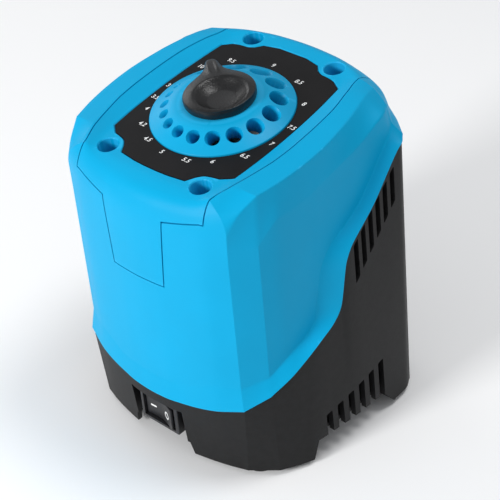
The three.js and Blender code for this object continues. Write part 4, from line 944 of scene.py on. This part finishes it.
def make_switch():
    bezel = switch_block(BEZEL_HALF, BEZEL_FACE, SWITCH_BACK - 0.3, BEZEL_RISE)
    bezel.name = "switch_frame"
    bezel.data.materials.append(MATERIALS["black_switch"])
    soften(bezel, 0.7)
    combine(bezel, [switch_block(BARREL_HALF, SWITCH_BACK - 1, BARREL_BACK, BARREL_RISE)], "UNION")
    tabs = [switch_block(0.4, BARREL_BACK - 2, TAB_BACK, TAB_RISE, x) for x in (-6, 0, 6)]
    combine(bezel, tabs, "UNION")
    combine(bezel, [switch_block(WINDOW_HALF, -70, -55.7, WINDOW_RISE)])
    shade(bezel, ROUNDED)
    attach(bezel, "casing")
    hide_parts("switch_body")

    turn = (LIFT @ Matrix.Translation((0, ROCKER_AXIS_Y, 0))
            @ Matrix.Rotation(math.radians(-ROCKER_THROW), 4, "Z"))
    face = [(x, face_depth(x)) for x in np.linspace(-ROCKER_HALF, ROCKER_HALF, 25)]
    back = [(ROCKER_HALF, -1), (6, 0.8), (2.2, 1.6), (-2.2, 1.6), (-6, 0.8), (-ROCKER_HALF, -1)]
    rocker = prism("rocker", [*face, *back], SWITCH_MIDDLE - ROCKER_RISE, SWITCH_MIDDLE + ROCKER_RISE, turn,
                   "black_switch")
    soften(rocker, 0.45)
    shade(rocker, ROUNDED)
    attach(rocker, "rocker")
    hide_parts("switch_rocker")
    make_switch_marks(turn)


def make_switch_marks(turn):
    """The usual on and off marks: a bar and a ring, lying on the curved face of the rocker."""
    bar_low, bar_high = SWITCH_MIDDLE - 0.45, SWITCH_MIDDLE + 0.45
    outline = [(-6.6, bar_low), (-3.2, bar_low), (-3.2, bar_high), (-6.6, bar_high)]
    vertices = [(x, face_depth(x) - d, z) for d in (MARK_SUNK, MARK_RAISED) for x, z in outline]
    bar = piece("mark_on", vertices, [*tube_faces(2, 4), (0, 1, 2, 3), (7, 6, 5, 4)], turn, "white_print")
    steps = 40
    rings = []
    for radius, d in ((2.2, MARK_SUNK), (2.2, MARK_RAISED), (1.5, MARK_RAISED), (1.5, MARK_SUNK)):
        ring = []
        for i in range(steps):
            a = 2 * math.pi * i / steps
            x, z = 5.2 + radius * 0.8 * math.cos(a), SWITCH_MIDDLE + radius * math.sin(a)
            ring.append((x, face_depth(x) - d, z))
        rings.append(ring)
    ring_mark = loft("mark_off", rings, turn, "white_print", closed=True)
    for mark in (bar, ring_mark):
        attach(mark, "rocker")


CORNER_NAMES = ("front_left", "front_right", "rear_left", "rear_right")
FOOT_PEG_RADIUS = 3


def make_feet():
    profile = [
        [0, -FOOT_LIFT], [6.6, -FOOT_LIFT], *arc((7.2, -1.7), 0.8, -90, 0, 5), [8, 2.3],
        [FOOT_PEG_RADIUS, 2.3], [FOOT_PEG_RADIUS, 5.7], [0, 5.7],
    ]
    for (x, y), corner in zip(FOOT_CENTRES, CORNER_NAMES):
        node = f"foot_{corner}"
        foot = turned(f"rubber_{node}", profile, 64, LIFT @ Matrix.Translation((x, y, 0)), "rubber")
        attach(foot, "casing")
        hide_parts(node)


SCREW_HEAD = 2.6           # height of a screw head
SHANK_RADIUS = 1.4
CROSS_HALF, CROSS_WIDTH, CROSS_DEPTH = 2.3, 0.45, 1.5


def make_cover_screws():
    """Pan-head screws with a cross, made upside down: the top of the head is at 0 and the shank above it."""
    profile = [
        [0, 0], [2.4, 0], *arc((2.6, 1.4), 1.4, -90, 0, 6), [4, SCREW_HEAD],
        [SHANK_RADIUS, SCREW_HEAD], [SHANK_RADIUS, 21], [0, 22.4],
    ]
    for (x, y), corner in zip(WELLS, CORNER_NAMES):
        node = f"cover_screw_{corner}"
        place = (DIAL @ Matrix.Translation((x, y, -WELL_DEPTH + 0.3 + SCREW_HEAD))
                 @ Matrix.Rotation(math.pi, 4, "X"))
        screw = turned(f"{node}_detail", profile, 48, place, "dark_steel")
        combine(screw, [
            block(-CROSS_HALF, CROSS_HALF, -CROSS_WIDTH, CROSS_WIDTH, -1, CROSS_DEPTH, place),
            block(-CROSS_WIDTH, CROSS_WIDTH, -CROSS_HALF, CROSS_HALF, -1, CROSS_DEPTH - 0.1, place),
        ])
        shade(screw, ROUNDED)
        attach(screw, "casing")
        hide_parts(node)


def dress_cad_nodes():
    """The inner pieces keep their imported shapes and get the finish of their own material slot."""
    slots = {row["node"]: row["material_slot"] for row in frame["record"]["subparts"]}
    for name, obj in frame["nodes"].items():
        obj.data.materials.clear()
        obj.data.materials.append(MATERIALS[slots[name]])


add_camera()
add_studio()
dress_cad_nodes()
make_cover()
make_shell()
make_housing()
make_label()
make_figures()
make_head()
make_knob()
make_switch()
make_feet()
make_cover_screws()
